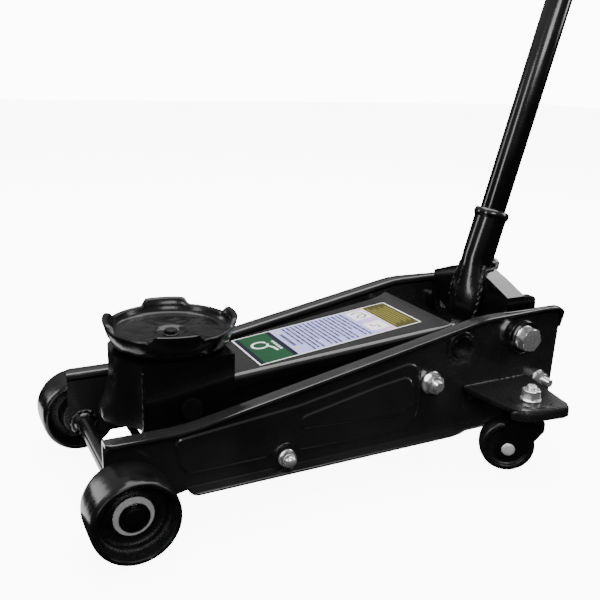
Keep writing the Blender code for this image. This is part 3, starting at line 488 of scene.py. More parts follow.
def saddle():
    """Cast cup with four lugs on its rim, ribs across its floor and a screw in the middle."""
    count = 128
    base = SADDLE_BASE
    lug_turn = -12.0
    floor_edge = 57.0

    def lug(angle):
        """Share of a lug's full height: 1 on a lug, 0 between two."""
        away = (math.degrees(angle) - lug_turn + 45.0) % 90.0 - 45.0
        share = max(0.0, min(1.0, (24.0 - abs(away)) / 6.5))
        return share * share * (3 - 2 * share)

    def ring(radius, z, out=0.0, up=0.0, rib=0.0):
        points = []
        for i in range(count):
            angle = math.tau * i / count
            rise = rib * max(0.0, math.cos(4 * (angle - math.radians(lug_turn - 45.0)))) ** 12
            reach = radius + out * lug(angle)
            x = SADDLE_X + reach * math.cos(angle)
            points.append((x, reach * math.sin(angle), z + up * lug(angle) + rise))
        return points

    def floor_ring(radius):
        """Cast floor with low lumps and four faint ribs."""
        fade = min(1.0, (floor_edge - radius) / 6.0)
        level = base + 14.8 + 0.4 * (radius / floor_edge) ** 2
        points = []
        for x, y, z in ring(radius, level, 0, 0, 1.2 * fade):
            lump = perlin.noise(Vector((x * 0.075, y * 0.075, 3.0)))
            lump += 0.5 * perlin.noise(Vector((x * 0.2, y * 0.2, 7.0)))
            points.append((x, y, z + 1.3 * fade * max(0.0, lump)))
        return points

    rings = [
        ring(7.9, base - 6.0), ring(7.9, base), ring(56.5, base), ring(58, base + 0.6),
        ring(62, base + 3), ring(64.5, base + 5.5), ring(67.5, base + 12), ring(69.5, base + 17, 0.5),
        ring(70.6, base + 21, 1.4, 3.0), ring(71.2, base + 23.6, 2.6, 6.0),
        ring(70.8, base + 24.8, 3.2, 7.2), ring(69.6, base + 25.3, 3.0, 7.4),
        ring(67.0, base + 25.2, 2.2, 7.3), ring(65.8, base + 24.4, 1.4, 6.8),
        ring(64.9, base + 21, 0.5, 3.0), ring(63.5, base + 18), ring(61, base + 16),
        ring(floor_edge, base + 15.2), *(floor_ring(56.0 - 2.0 * k) for k in range(17)),
        ring(21, base + 15.1), ring(18.5, base + 14.6), ring(16, base + 12.6),
        ring(14, base + 11.4), ring(12, base + 11.2),
    ]
    obj = obj_from(loft(rings), "saddle_cup", "cast_black", "saddle", 50.0)
    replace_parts(obj, "saddle")
    head = hex_head((SADDLE_X, 0, base + 11.3), UP, 13.0, 5.0, 0.4)
    profile = [(0, 0), (9.5, 0), (9.5, 0.9), (8.8, 1.3), (0, 1.3)]
    collar = lathe(profile, (SADDLE_X, 0, base + 11.25), UP, 32)
    shank = rod(4, 18, (SADDLE_X, 0, base - 7.5), UP, 16)
    screw = obj_from(merged(head, collar, shank), "saddle_bolt", "cast_black", "saddle")
    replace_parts(screw, "saddle_screw")


# ---- front axle and wheels


def front_wheel(name, side):
    """Cast wheel: crowned tread, narrow rim, a step down into a rough dish, and a hub."""
    bore = 12.3
    outline = [
        (bore, 134.6), (21.5, 134.6), (23.5, 133.0), (26.0, 132.2), (31.0, 132.4), (33.6, 134.0),
        (34.6, 139.0), (36.6, 141.0), (38.0, 148.0), (38.8, 153.6), (39.6, 154.3), (42.0, 154.4),
        (43.3, 153.6), (44.3, 151.0), (44.9, 146.0), (45.0, 136.0), (45.0, 118.0), (44.7, 108.0),
        (44.0, 103.5), (42.6, 100.9), (41.0, 100.1), (38.8, 100.3), (37.6, 102.0), (36.0, 112.0),
        (33.5, 117.0), (25.0, 118.0), (22.5, 112.0), (21.5, 101.6), (20.5, 101.1), (bore, 101.1),
    ]
    dish_radius = 38.6
    bm = lathe(rounded(outline, 1.2), at(FRONT_AXLE, 0), (0, side, 0), 96)
    obj = obj_from(bm, "cast_wheel_" + name, "cast_black", "front_wheel_" + name, 60.0)
    obj.data.materials.append(LOOKS["rough_cast"])
    for face in obj.data.polygons:
        x, z = face.center.x / MM - SHIFT.x, face.center.z / MM
        across = math.hypot(x - FRONT_AXLE[0], z - FRONT_AXLE[1])
        face.material_index = 1 if across < dish_radius else 0
    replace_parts(obj, "front_wheel_" + name)


def axle():
    """Front axle: a plain bar between weld collars, stepped up where the wheels turn."""
    half = [
        (0, -144), (10.6, -144), (11.6, -143.4), (12, -142.4), (12, -87.6), (14.5, -87.6),
        (14, -85.5), (12.0, -82.0), (10.4, -79.5), (9.6, -76), (9.4, -70),
    ]
    curve = half + [(r, -h) for r, h in reversed(half)]
    bm = lathe(curve, at(FRONT_AXLE, 0), ACROSS, 64)
    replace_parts(obj_from(bm, "axle_bar", "black_paint", "frame", 35.0), "front_axle")


def hub_washer(name, side):
    curve = [
        (12.3, 135.5), (19.8, 135.5), (20.6, 136.2), (20.6, 137.3),
        (19.8, 138.2), (13.0, 138.2), (12.3, 137.6),
    ]
    bm = lathe(curve, at(FRONT_AXLE, 0), (0, side, 0), 64)
    # zinc_bright is the less metallic zinc copy, a painted sheen on the washer.
    obj = obj_from(bm, "hub_washer_" + name, "zinc_bright", "frame", 30.0)
    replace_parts(obj, "wheel_washer_" + name)


# ---- arm

ARM_FALL, ARM_REACH = SHAFT[1] - FRONT_PIN[1], SHAFT[0] - FRONT_PIN[0]
ARM_ANGLE = math.atan2(ARM_FALL, ARM_REACH)
ARM_LENGTH = math.hypot(ARM_FALL, ARM_REACH)
ARM_TURN = Matrix.Translation(at(SHAFT, 0)) @ Matrix.Rotation(-ARM_ANGLE, 4, "Y")
ARM_TOP = 22.0
ARM_BEND = -278.0
ARM_SKIN = 3.0


def arm_half(x):
    """Half the arm's width: narrow ahead of the bend, then wider towards the shaft."""
    share = min(1.0, max(0.0, (x - ARM_BEND) / -ARM_BEND))
    return 47.0 + 24.0 * share


def cap_section(x, half, depth, lift, radius):
    """Folded cross-section of the arm's top: flat, two rounded corners and two skirts."""
    def one_side(h, r, top):
        points = [(h, top - depth)]
        for i in range(7):
            a = math.radians(15.0 * i)
            points.append((h - r + r * math.cos(a), top - r + r * math.sin(a)))
        points.append((h * 0.5, top))
        return points

    outer = one_side(half, radius, ARM_TOP + lift)
    inner = one_side(half - ARM_SKIN, max(1.0, radius - ARM_SKIN), ARM_TOP + lift - ARM_SKIN)
    inner[0] = (inner[0][0], outer[0][1])
    outer += [(-y, z) for y, z in reversed(outer)]
    inner += [(-y, z) for y, z in reversed(inner)]
    return [(x, y, z) for y, z in outer + inner[::-1]]


def arm_cap():
    """Top sheet of the arm, with its rear end rolled up."""
    front = 40.0 - ARM_LENGTH
    rings = []
    for x, extra, depth, lift, radius in (
        (front, 3.4, 14.0, 0.0, 7.0), (ARM_BEND, 3.4, 15.0, 0.0, 7.0), (-200, 3.4, 15.5, 0.0, 7.0),
        (-100, 3.4, 15.5, 0.0, 7.0), (-40, 3.4, 15.0, 0.0, 7.0), (-24, 3.6, 12.0, 0.0, 6.5),
        (-16, 3.9, 7.0, 0.0, 5.0), (-9, 4.6, 5.5, 0.3, 4.0), (-4, 5.4, 5.0, 1.2, 3.2),
        (0.5, 5.6, 4.6, 2.4, 3.0),
    ):
        rings.append(cap_section(x, arm_half(x) + extra, depth, lift, radius))
    bm = loft(rings)
    bmesh.ops.transform(bm, matrix=ARM_TURN, verts=bm.verts)
    cap = obj_from(bm, "arm_cap", "black_paint", "arm", 40.0)
    round_edges(cap, 0.9, 40.0, 3).harden_normals = True
    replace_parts(cap, "lift_arm_top")


# ---- label

# Heights above the arm's sheet between which each layer of print lies
SHEET_LAYER = (0.3, 0.6)
PANEL_LAYER = (0.55, 0.68)
MARK_LAYER = (0.66, 0.76)
LINE_LAYER = (0.66, 0.74)
SYMBOL_LAYER = (0.74, 0.8)


def on_arm(x, y, height):
    """Point on the arm's top, from x along the jack, y across and height above the plate."""
    local = (x - SHAFT[0] - ARM_TOP * -math.sin(ARM_ANGLE)) / math.cos(ARM_ANGLE)
    return ARM_TURN @ Vector((local, y, ARM_TOP + height))


def print_patch(points, layer):
    """Thin printed patch in the label's plane."""
    return loft([[on_arm(x, y, level) for x, y in points] for level in layer])


def box_points(x0, x1, y0, y1, corner=0.0):
    if corner <= 0:
        return [(x0, y0), (x1, y0), (x1, y1), (x0, y1)]
    out = []
    for cx, cy, turn in (
        (x0 + corner, y0 + corner, 180), (x1 - corner, y0 + corner, 270),
        (x1 - corner, y1 - corner, 0), (x0 + corner, y1 - corner, 90),
    ):
        for i in range(5):
            a = math.radians(turn + 22.5 * i)
            out.append((cx + corner * math.cos(a), cy + corner * math.sin(a)))
    return out


def stroke(points, width, layer):
    """Ribbon of constant width along a line in the label's plane."""
    left, right = [], []
    for i, here in enumerate(points):
        before = Vector(points[max(0, i - 1)])
        after = Vector(points[min(len(points) - 1, i + 1)])
        along = (after - before).normalized()
        side = Vector((-along.y, along.x)) * width / 2
        left.append(tuple(Vector(here) + side))
        right.append(tuple(Vector(here) - side))
    bm = bmesh.new()
    rows = []
    for level in layer:
        for line in (left, right):
            rows.append([bm.verts.new(on_arm(x, y, level)) for x, y in line])
    for i in range(len(points) - 1):
        for a, b in ((0, 1), (3, 2), (2, 0), (1, 3)):
            bm.faces.new((rows[a][i], rows[a][i + 1], rows[b][i + 1], rows[b][i]))
    bm.faces.new([rows[k][0] for k in (0, 1, 3, 2)])
    bm.faces.new([rows[k][-1] for k in (0, 2, 3, 1)])
    bmesh.ops.recalc_face_normals(bm, faces=bm.faces)
    return bm


def text_bars():
    """Rows of bars of uneven length, where a label has its text."""
    bars = []
    for row in range(15):
        x = 240.5 + row * 5.9
        start = 40.0
        end = -40.0 if row % 4 else -18.0 - 3.0 * (row % 3)
        piece = 0
        while start > end + 5.0:
            length = min(start - end, 9.0 + 5.0 * math.sin(row * 2.3 + piece * 1.7))
            bars.append(stroke([(x, start), (x, start - length)], 2.3, LINE_LAYER))
            start -= length + 1.2
            piece += 1
    for i in range(9):
        bars.append(stroke([(231.5, 24 - 4.6 * i), (231.5, 20.6 - 4.6 * i)], 4.2, LINE_LAYER))
    return bars


def white_marks():
    """Two blank boxes, a plain ring with a tail, and a short row of bars."""
    marks = []
    for low, high in ((7.0, 36.0), (-33.5, -6.5)):
        marks.append(print_patch(box_points(329.5, 354.5, low, high, 2.5), MARK_LAYER))
    turns = [math.radians(a) for a in range(20, 361, 20)]
    ring = [(196.5 + 9.5 * math.cos(a), 9.0 + 9.5 * math.sin(a)) for a in turns]
    tail = [(203, 4), (208, -5), (209, -16)]
    marks += [stroke(line, 3.0, MARK_LAYER) for line in (ring, tail)]
    for i in range(5):
        marks.append(stroke([(214.5, 13 - 6 * i), (214.5, 9.4 - 6 * i)], 3.2, MARK_LAYER))
    return marks


def label():
    """Printed label: a white sheet with coloured panels, plain marks and rows of bars."""
    white = print_ink("label_white", (0.86, 0.86, 0.84))
    green = print_ink("label_green", (0.006, 0.055, 0.02))
    lilac = print_ink("label_lilac_panel", (0.40, 0.40, 0.78))
    olive = print_ink("label_olive", (0.05, 0.045, 0.006))
    ink = print_ink("label_ink", (0.003, 0.003, 0.015))
    yellow = print_ink("label_yellow", (0.75, 0.6, 0.05))
    dull_yellow = print_ink("label_dull_yellow", (0.30, 0.26, 0.05))
    pink = print_ink("label_pink", (0.60, 0.40, 0.72))

    def printed(name, look, *patches):
        return obj_from(merged(*patches), name, look, "arm", 30.0)

    outline = box_points(173.5, 393.5, -43.6, 43.6, 1.0)
    sheet = printed("label_sheet", white, print_patch(outline, SHEET_LAYER))
    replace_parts(sheet, "lift_arm_label")
    panels = (
        ("label_green_panel", green, 181, 218),
        ("label_lilac_sheet", lilac, 224.5, 335),
        ("label_pink_panel", pink, 335, 357.5),
        ("label_olive_panel", olive, 358.5, 391.7),
        ("label_front_strip", ink, 175.5, 181),
        ("label_dark_strip", ink, 218, 224.0),
    )
    for name, look, front, rear in panels:
        printed(name, look, print_patch(box_points(front, rear, -42, 42), PANEL_LAYER))
    printed("label_white_marks", white, *white_marks())
    hook = [(335, 29), (341, 33), (349, 28), (350, 17), (343, 11), (336, 16), (342, 22), (347, 22)]
    stair = [(337, -13), (337, -20), (344, -20), (344, -27)]
    symbols = [stroke(line, 2.0, SYMBOL_LAYER) for line in (hook, stair)]
    printed("label_bars", ink, *text_bars(), *symbols)
    dots = [print_patch(box_points(229, 234, y0, y0 + 5, 2.4), MARK_LAYER) for y0 in (29, -25)]
    printed("label_yellow_marks", yellow, *dots)
    lines = []
    for i, short in enumerate((0, 6, 3, 9, 2, 7, 4)):
        x = 362.5 + 4.0 * i
        lines.append(stroke([(x, 34 - short), (x, -34 + short)], 1.1, LINE_LAYER))
    printed("label_dull_lines", dull_yellow, *lines)


# ---- handle

TILT = math.radians(15.28)
HANDLE_DIR = Vector((math.sin(TILT), 0, math.cos(TILT)))
HANDLE_BACK = Vector((math.cos(TILT), 0, -math.sin(TILT)))
HANDLE_FOOT = Vector((526.5 - (283.0 - YOKE_PIVOT[1]) * math.tan(TILT), 0, YOKE_PIVOT[1]))


def on_handle(height):
    """Point on the handle's axis at a height above the ground."""
    return HANDLE_FOOT + HANDLE_DIR * ((height - YOKE_PIVOT[1]) / math.cos(TILT))


def lower_tube():
    start = on_handle(190.0)
    length = (on_handle(735.0) - start).length
    outer, inner, lips = 16.5, 14.0, 0.8
    profile = [
        (inner, 0), (outer - lips, 0), (outer - lips * 0.3, lips * 0.3), (outer, lips),
        (outer, length - lips), (outer - lips * 0.3, length - lips * 0.3), (outer - lips, length),
        (inner, length),
    ]
    bm = lathe(profile, start, HANDLE_DIR, 72)
    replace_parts(obj_from(bm, "handle_tube_lower", "black_paint", "handle", 40.0), "handle_lower")


def upper_tube():
    """Upper tube, with a thinner end that sits inside the lower one."""
    foot = 660.0
    step = (735.6 - foot) / math.cos(TILT)
    length = (1281.0 - foot) / math.cos(TILT)
    profile = [
        (11.7, 0), (13.2, 0), (13.7, 0.5), (13.7, step), (15.9, step + 0.2), (16.5, step + 0.8),
        (16.5, length), (14.0, length), (14.0, step + 3), (11.7, step),
    ]
    bm = lathe(profile, on_handle(foot), HANDLE_DIR, 72)
    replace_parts(obj_from(bm, "handle_tube_upper", "black_paint", "handle", 40.0), "handle_upper")


def grip():
    """Rubber sleeve with a collar at its lower end and ribs along it."""
    length = 135.0 / math.cos(TILT)
    curve = [(0, length - 6), (16.8, length - 6), (16.8, 0)]
    curve += [(19.4, 0), (20.0, 0.6), (20.0, 4.4), (19.4, 5.2), (18.0, 6.5)]
    height = 8.0
    while height < length - 12.0:
        curve += [(18.0, height), (18.5, height + 0.8), (18.5, height + 2.6), (18.0, height + 3.4)]
        height += 4.6
    curve += [(18.2, length - 6), (17.6, length - 3), (15.8, length - 1), (13.0, length), (0, length)]
    bm = lathe(curve, on_handle(1155.0), HANDLE_DIR, 72)
    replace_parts(obj_from(bm, "grip_sleeve", "grip_rubber", "handle", 40.0), "handle_grip")


# ---- fasteners


def fastener(name, node, body, place, direction, disc, nut, stud, inner=None, turn=0.3):
    """Washer (radius, thickness), hexagon (flats, height), stud and inner shank (radius, length)."""
    base = Vector(place)
    along = Vector(direction).normalized()
    pieces = []
    level = 0.0
    if disc:
        radius, thick = disc
        profile = [(0, 0), (radius - 0.4, 0), (radius, 0.4)]
        profile += [(radius, thick - 0.4), (radius - 0.5, thick), (0, thick)]
        pieces.append(lathe(profile, base, along, 48))
        level = thick
    flats, height = nut
    pieces.append(hex_head(base + along * level, along, flats, height, turn))
    if stud:
        pieces.append(threaded_end(base + along * (level + height - 0.5), along, *stud))
    if inner:
        radius, length = inner
        pieces.append(rod(radius, length, base - along * (length - 0.5), along, 24))
    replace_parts(obj_from(merged(*pieces), name, "zinc", body, 28.0), node)


def dome_nut(name, side):
    out = (0, side, 0)
    profile = [(6.3, 0), (10.0, 0), (10.4, 0.4), (10.4, 1.6), (10, 2.0), (6.3, 2.0)]
    disc = lathe(profile, at(TIE_BOLT, side * 94.6), out, 48)
    base = hex_head(at(TIE_BOLT, side * 96.4), out, 17.0, 6.4, 0.2)
    curve = [(0, 0), (7.7, 0), (7.7, 2.0)]
    for degrees in range(10, 90, 10):
        a = math.radians(degrees)
        curve.append((7.7 * math.cos(a), 2.0 + 7.2 * math.sin(a)))
    dome = lathe(curve + [(0, 9.2)], at(TIE_BOLT, side * 101.6), out, 48)
    obj = obj_from(merged(disc, base, dome), "cap_nut_" + name, "zinc", "frame", 28.0)
    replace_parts(obj, "dome_nut_" + name)


def link_stud(name, side):
    out = (0, side, 0)
    profile = [(0, 0), (11, 0), (11, 4), (7, 4), (7, 31), (0, 31)]
    stud = lathe(profile, at(LINK_PIVOT, side * 72.6), out, 32)
    tip = threaded_end(at(LINK_PIVOT, side * 103), out, 6.6, 7.5)
    obj = obj_from(merged(stud, tip), "link_stud_" + name, "zinc", "frame", 28.0)
    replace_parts(obj, "link_bolt_" + name)


def fasteners():
    for name, side in SIDES:
        out = (0, side, 0)
        fastener(
            "pivot_screw_" + name, "pivot_bolt_" + name, "frame", at(YOKE_PIVOT, side * 100.5), out,
            (15.6, 1.2), (28.0, 12.0), None, (9.0, 37.4), turn=0.35,
        )
        profile = [(9.2, 0), (20.6, 0), (21.4, 0.8), (21.2, 2.4), (20.2, 3.1), (9.2, 3.1)]
        collar = lathe(profile, at(YOKE_PIVOT, side * 97.3), out, 64)
        obj_from(collar, "pivot_collar_" + name, "black_paint", "frame", 35.0)
        fastener(
            "link_lock_nut_" + name, "link_nut_" + name, "frame", at(LINK_PIVOT, side * 92.3), out,
            (14.0, 2.3), (21.0, 10.0), None, turn=0.2,
        )
        link_stud(name, side)
        fastener(
            "block_nut_" + name, "block_bolt_" + name, "frame", at(BLOCK_BOLT, side * 92.3), out,
            (11.0, 2.0), (17.0, 10.0), (5.6, 11.5), (6.0, 26.0), turn=0.5,
        )
        on_wing = (CASTER_X, side * CASTER_OUT, 92.1)
        fastener(
            "caster_lock_nut_" + name, "caster_nut_" + name, "frame", on_wing, UP,
            (12.6, 2.2), (20.0, 11.0), (6.0, 5.4), (6.0, 20.0), turn=0.55 * side,
        )
        dome_nut(name, side)
    fastener(
        "lock_bolt", "lock_screw", "yoke", on_handle(222.0) + HANDLE_BACK * 27.3, HANDLE_BACK,
        None, (16.0, 7.0), None, (5.0, 10.2), turn=0.4,
    )


# ---- plunger spring


def spring():
    """Return coil round the pump plunger."""
    low, high, radius, wire = 102.5, 145.5, 9.0, 1.25
    turns, per_turn, round_wire = 6, 28, 10
    total = turns * per_turn
    rings = []
    for i in range(total + 1):
        share = i / total
        angle = math.tau * i / per_turn
        out = Vector((math.cos(angle), math.sin(angle), 0))
        rise = (high - low - 2 * wire) * (share - 0.06 * math.sin(math.tau * share))
        centre = Vector((PLUNGER_X, 0, low + wire + rise)) + out * radius
        ring = []
        for k in range(round_wire):
            a = math.tau * k / round_wire
            ring.append(centre + out * (wire * math.cos(a)) + Vector((0, 0, wire * math.sin(a))))
        rings.append(ring)
    obj = obj_from(loft(rings), "return_coil", "spring_steel", "frame", 60.0)
    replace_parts(obj, "plunger_spring")
    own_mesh(obj)


# ---- casters

# Caster axle from the swivel axis: trail along the fork, then height above the ground
CASTER_TRAIL, CASTER_HEIGHT = 22.0, 33.0


def on_caster(curve, side, count):
    """Solid of revolution about a caster's axle, turned to where that caster rests."""
    bm = lathe(curve, (CASTER_TRAIL, 0, CASTER_HEIGHT), ACROSS, count)
    rest_turn = Matrix.Rotation(math.radians(180.0 + side * 35.0), 4, "Z")
    matrix = Matrix.Translation((CASTER_X, side * CASTER_OUT, 0)) @ rest_turn
    bmesh.ops.transform(bm, matrix=matrix, verts=bm.verts)
    return bm


def caster_wheel(name, side):
    """Moulded wheel with a crowned tread, a recessed web and a raised hub."""
    half = [
        (6.3, 14.0), (8.6, 14.0), (9.6, 13.2), (10.2, 10.6), (11.5, 9.6), (21.5, 9.6), (23.5, 10.4),
        (24.4, 12.4), (25.4, 13.0), (28.6, 13.0), (30.6, 12.2), (32.0, 9.8), (32.8, 5.0), (33.0, 0.0),
    ]
    bm = on_caster(half + [(r, -h) for r, h in reversed(half[:-1])], side, 80)
    obj = obj_from(bm, "caster_roller_" + name, "caster_tyre", "caster_wheel_" + name, 45.0)
    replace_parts(obj, "caster_wheel_" + name)


def axle_pin(name, side):
    """Riveted caster axle with low domed heads."""
    half = [(0, -20.9), (4.0, -20.8), (6.6, -20.2), (7.8, -19.4), (8.0, -18.9), (6, -18.9)]
    bm = on_caster(half + [(r, -h) for r, h in reversed(half)], side, 48)
    # zinc_bright gives the rivet a painted sheen.
    obj = obj_from(bm, "caster_rivet_" + name, "zinc_bright", "caster_" + name, 45.0)
    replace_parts(obj, "caster_axle_" + name)


# ---- side plates

# Outlines in the plate's plane, as (x, z)
PLATE_EDGE = [
    (-17, 27), (-17, 101.4), (66, 101.4), (443, 173.4), (580, 173.4),
    (577, 60), (571, 31.5), (70, 31.5), (50, 27),
]
PLATE_PANEL = [
    (56, 92), (61, 62), (70, 51.5), (164, 51.5), (174, 57.5), (180, 62.4), (188, 62.4), (194, 57.5),
    (204, 51.5), (337, 49), (357, 56), (361, 74), (361, 124), (346, 134), (200, 106),
]
PLATE_RAISED = [
    (202, 92), (201, 78), (307, 71.5), (340, 70.5), (352, 80), (350, 108), (342, 117.5), (304, 112.5),
]
# Distances from the jack's middle
PLATE_IN, PLATE_OUT = 88.0, 92.0
PANEL_OUT, RAISED_OUT = 93.7, 95.3


def moved_in(points, amount):
    """Closed polygon with every point moved towards its inside."""
    count = len(points)
    area = sum(points[i - 1].x * points[i].y - points[i].x * points[i - 1].y for i in range(count))
    sign = 1.0 if area > 0 else -1.0
    out = []
    for i in range(count):
        along = (points[(i + 1) % count] - points[i - 1]).normalized()
        out.append(points[i] + Vector((-along.y, along.x)) * sign * amount)
    return out


def plate_web(side):
    """Pressed sheet: a raised panel with a second one inside it, both with rounded steps."""
    edge = corner_arcs(PLATE_EDGE, 3.0)
    panel = corner_arcs(PLATE_PANEL, 9.0)
    raised = corner_arcs(PLATE_RAISED, 9.0)
    bm = bmesh.new()

    def loop(points, depth):
        return [bm.verts.new((p.x, side * depth, p.y)) for p in points]

    def strip(one, two):
        for i in range(len(one)):
            j = (i + 1) % len(one)
            bm.faces.new((one[i], one[j], two[j], two[i]))

    def flat(*loops):
        edges = []
        for ring in loops:
            for i in range(len(ring)):
                pair = (ring[i], ring[(i + 1) % len(ring)])
                edges.append(bm.edges.get(pair) or bm.edges.new(pair))
        bmesh.ops.triangle_fill(bm, use_beauty=True, use_dissolve=False, edges=edges)

    def step(points, low, high):
        """Rounded step up from one level to the next, with a flat margin on both sides."""
        rows = [loop(moved_in(points, -2.6), low)]
        for k in range(7):
            t = k / 6.0
            rows.append(loop(moved_in(points, -2.0 + 4.0 * t), low + (high - low) * t * t * (3 - 2 * t)))
        rows.append(loop(moved_in(points, 2.6), high))
        for one, two in zip(rows, rows[1:]):
            strip(one, two)
        return rows[0], rows[-1]

    chamfer = 0.8
    rim_in = loop(edge, PLATE_IN)
    rim_out = loop(edge, PLATE_OUT - chamfer)
    face = loop(moved_in(edge, chamfer), PLATE_OUT)
    strip(rim_in, rim_out)
    strip(rim_out, face)
    flat(rim_in)
    outer_low, outer_high = step(panel, PLATE_OUT, PANEL_OUT)
    inner_low, inner_high = step(raised, PANEL_OUT, RAISED_OUT)
    flat(face, outer_low)
    flat(outer_high, inner_low)
    flat(inner_high)
    bmesh.ops.recalc_face_normals(bm, faces=bm.faces)
    return bm


def plate_flange(side):
    """Top edge folded outwards, with the radius of the fold on its inner side."""
    fold = 4.0
    line = [(-17.0, 108.0, 103.0), (-13.0, 108.0, 107.0), (-8.0, 108.0, 108.0), (50.0, 108.0, 108.0)]
    line += [(66.0, 109.0, 108.0), (82.0, 111.2, 108.0), (250.0, 143.2, 107.7), (425.0, 176.6, 107.0)]
    line += [(440.0, 179.0, 106.8), (455.0, 180.0, 106.2), (480.0, 180.0, 105.0), (520.0, 180.0, 102.0)]
    line += [(562.0, 180.0, 99.0)]
    rings = []
    for x, z, out in line:
        section = [(PLATE_IN, -9.0), (PLATE_IN, -fold)]
        for k in range(1, 7):
            a = math.radians(15.0 * k)
            section.append((PLATE_OUT - fold * math.cos(a), -fold + fold * math.sin(a)))
        section += [(out - 1.6, 0.0), (out - 0.5, -0.3), (out, -1.2), (out, -3.2), (out - 0.7, -3.9)]
        section += [(94.0, -4.0), (92.6, -4.6), (PLATE_OUT, -6.4), (PLATE_OUT, -9.0)]
        rings.append([(x, side * y, z + dz) for y, dz in section])
    return loft(rings)


def low_flange(side):
    """Bottom edge folded outwards."""
    line = [
        (70.0, 98.0), (72.0, 105.0), (77.0, 108.0), (405.0, 108.0),
        (420.0, 105.5), (432.0, 101.0), (560.0, 100.0),
    ]
    rings = []
    for x, out in line:
        section = [(89.0, 31.5), (89.0, 35.5), (92.6, 35.5), (93.4, 35.2), (94.2, 35.0), (out - 1.4, 35.0)]
        section += [(out - 0.4, 34.6), (out, 33.8), (out, 32.6), (out - 0.6, 31.8), (out - 1.6, 31.5)]
        rings.append([(x, side * y, z) for y, z in section])
    return loft(rings)


def side_plate(name, side):
    """Web and both flanges, with a boss at the yoke's pivot and a ring at the lift shaft."""
    out = (0, side, 0)
    boss_profile = [(9.2, 0), (22.0, 0), (22.0, 6.6), (21.0, 8.0), (9.2, 8.0)]
    ring_profile = [(15.2, 0), (20.0, 0), (20.0, 5.0), (18.6, 6.0), (15.2, 6.0)]
    boss = lathe(rounded(boss_profile, 0.8), at(YOKE_PIVOT, side * 89.0), out, 64)
    ring = lathe(rounded(ring_profile, 0.8), at(SHAFT, side * 89.0), out, 64)
    bm = merged(plate_web(side), plate_flange(side), low_flange(side), boss, ring)
    # plate_paint is the lighter copy of the gloss black, painted light on the plates' faces.
    plate = obj_from(bm, "pressed_plate_" + name, "plate_paint", "frame", 42.0)
    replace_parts(plate, "side_plate_" + name)


def rear_flange(name, side):
    """Rolled edge round the rear top corner of a side plate."""
    path = [(474.0, 180.0, 0.0), (490.0, 180.3, 3.5), (540.0, 180.3, 6.0), (560.0, 180.2, 7.5)]
    for step in range(9):
        a = math.radians(90.0 - 11.0 * step)
        path.append((565.0 + 15.0 * math.cos(a), 165.2 + 15.0 * math.sin(a), 8.5 - 0.9 * max(0, step - 4)))
    path.append((580.3, 150.0, 0.6))
    rings = []
    for i, (x, z, wide) in enumerate(path):
        before, after = path[max(0, i - 1)], path[min(len(path) - 1, i + 1)]
        along = Vector((after[0] - before[0], 0, after[1] - before[1])).normalized()
        inward = Vector((along.z, 0, -along.x))
        half = (2.6 + wide) * 0.5
        ring = []
        for k in range(12):
            a = math.tau * k / 12
            across = 90.5 + half + (half + 1.0) * math.cos(a)
            depth = 1.7 - 1.7 * math.sin(a) + wide * 0.06 * math.cos(a)
            ring.append(Vector((x, side * across, z)) + inward * depth)
        rings.append(ring)
    obj_from(loft(rings), "rear_flange_" + name, "black_paint", "frame", 60.0)


# ---- welds


def bead(name, points, radius, body):
    """Weld bead: a rippled, slightly uneven round run along a line."""
    round_bead = 10
    steps = []
    for start, end in zip(points, points[1:]):
        one, two = Vector(start), Vector(end)
        count = max(4, int((two - one).length / 0.9))
        steps += [one.lerp(two, i / count) for i in range(count)]
    steps.append(Vector(points[-1]))
    last = len(steps) - 1
    rings = []
    for i, here in enumerate(steps):
        ahead = (steps[min(i + 1, last)] - steps[max(i - 1, 0)]).normalized()
        aside = ahead.cross(Vector((0.31, 0.55, 0.77))).normalized()
        over = ahead.cross(aside)
        ripple = radius * (0.82 + 0.2 * abs(math.sin(i * 1.05)) + 0.12 * math.sin(i * 0.37))
        ripple *= min(1.0, 0.35 + 0.3 * min(i, last - i))
        centre = here + aside * (radius * 0.22 * math.sin(i * 0.61))
        ring = []
        for k in range(round_bead):
            a = math.tau * k / round_bead
            ring.append(centre + aside * (ripple * math.cos(a)) + over * (ripple * math.sin(a)))
        rings.append(ring)
    obj_from(loft(rings), name, "black_paint", body, 60.0)


def round_weld(name, axis, y, reach, thick, body, start=0, end=360):
    """Weld bead round a pin or bar that runs across the jack, between two angles in degrees."""
    points = []
    for degrees in range(start, end + 1, 12):
        a = math.radians(degrees)
        points.append((axis[0] + reach * math.cos(a), y, axis[1] + reach * math.sin(a)))
    bead(name, points, thick, body)


def lift_welds():
    for name, side in SIDES:
        pin_y, nose_y = side * 56.4, side * 55.4
        round_weld("axle_weld_" + name, FRONT_AXLE, side * 85.6, 14.2, 2.6, "frame")
        round_weld("pin_weld_top_" + name, FRONT_PIN, pin_y, 11.2, 1.0, "bracket", 36, 144)
        round_weld("pin_weld_low_" + name, FRONT_PIN, pin_y, 11.2, 1.0, "bracket", 252, 312)
        bead("nose_weld_" + name, [(35.2, nose_y, 157), (35.2, nose_y, 96)], 1.3, "bracket")


def yoke_welds():
    """Beads where the socket meets the yoke, and the ridge down the socket's front."""
    ridge = []
    for height, reach in ((168, 16.4), (184, 18.9), (200, 19.6), (214, 20.2)):
        ridge.append(on_handle(height) - HANDLE_BACK * reach)
    bead("keel_ridge", ridge, 1.1, "yoke")
    keel = [(505, 21.5, 221), (500, 26.0, 203), (497.5, 28.6, 186), (494, 28.6, 166), (491, 26.0, 150)]
    inner = [(503.5, 22.5, 216), (498.0, 25.5, 203), (495.5, 27.6, 190), (494.0, 27.9, 178)]
    roof = [(501.5, 22.5, 213.2), (510, 22.2, 213.6), (520, 20.5, 213.6), (527, 16.0, 213.6)]
    for name, side in SIDES:
        beads = (("keel_weld_", keel, 3.0), ("keel_weld_inner_", inner, 2.0), ("roof_weld_", roof, 2.0))
        for kind, line, radius in beads:
            bead(kind + name, [(x, side * y, z) for x, y, z in line], radius, "yoke")


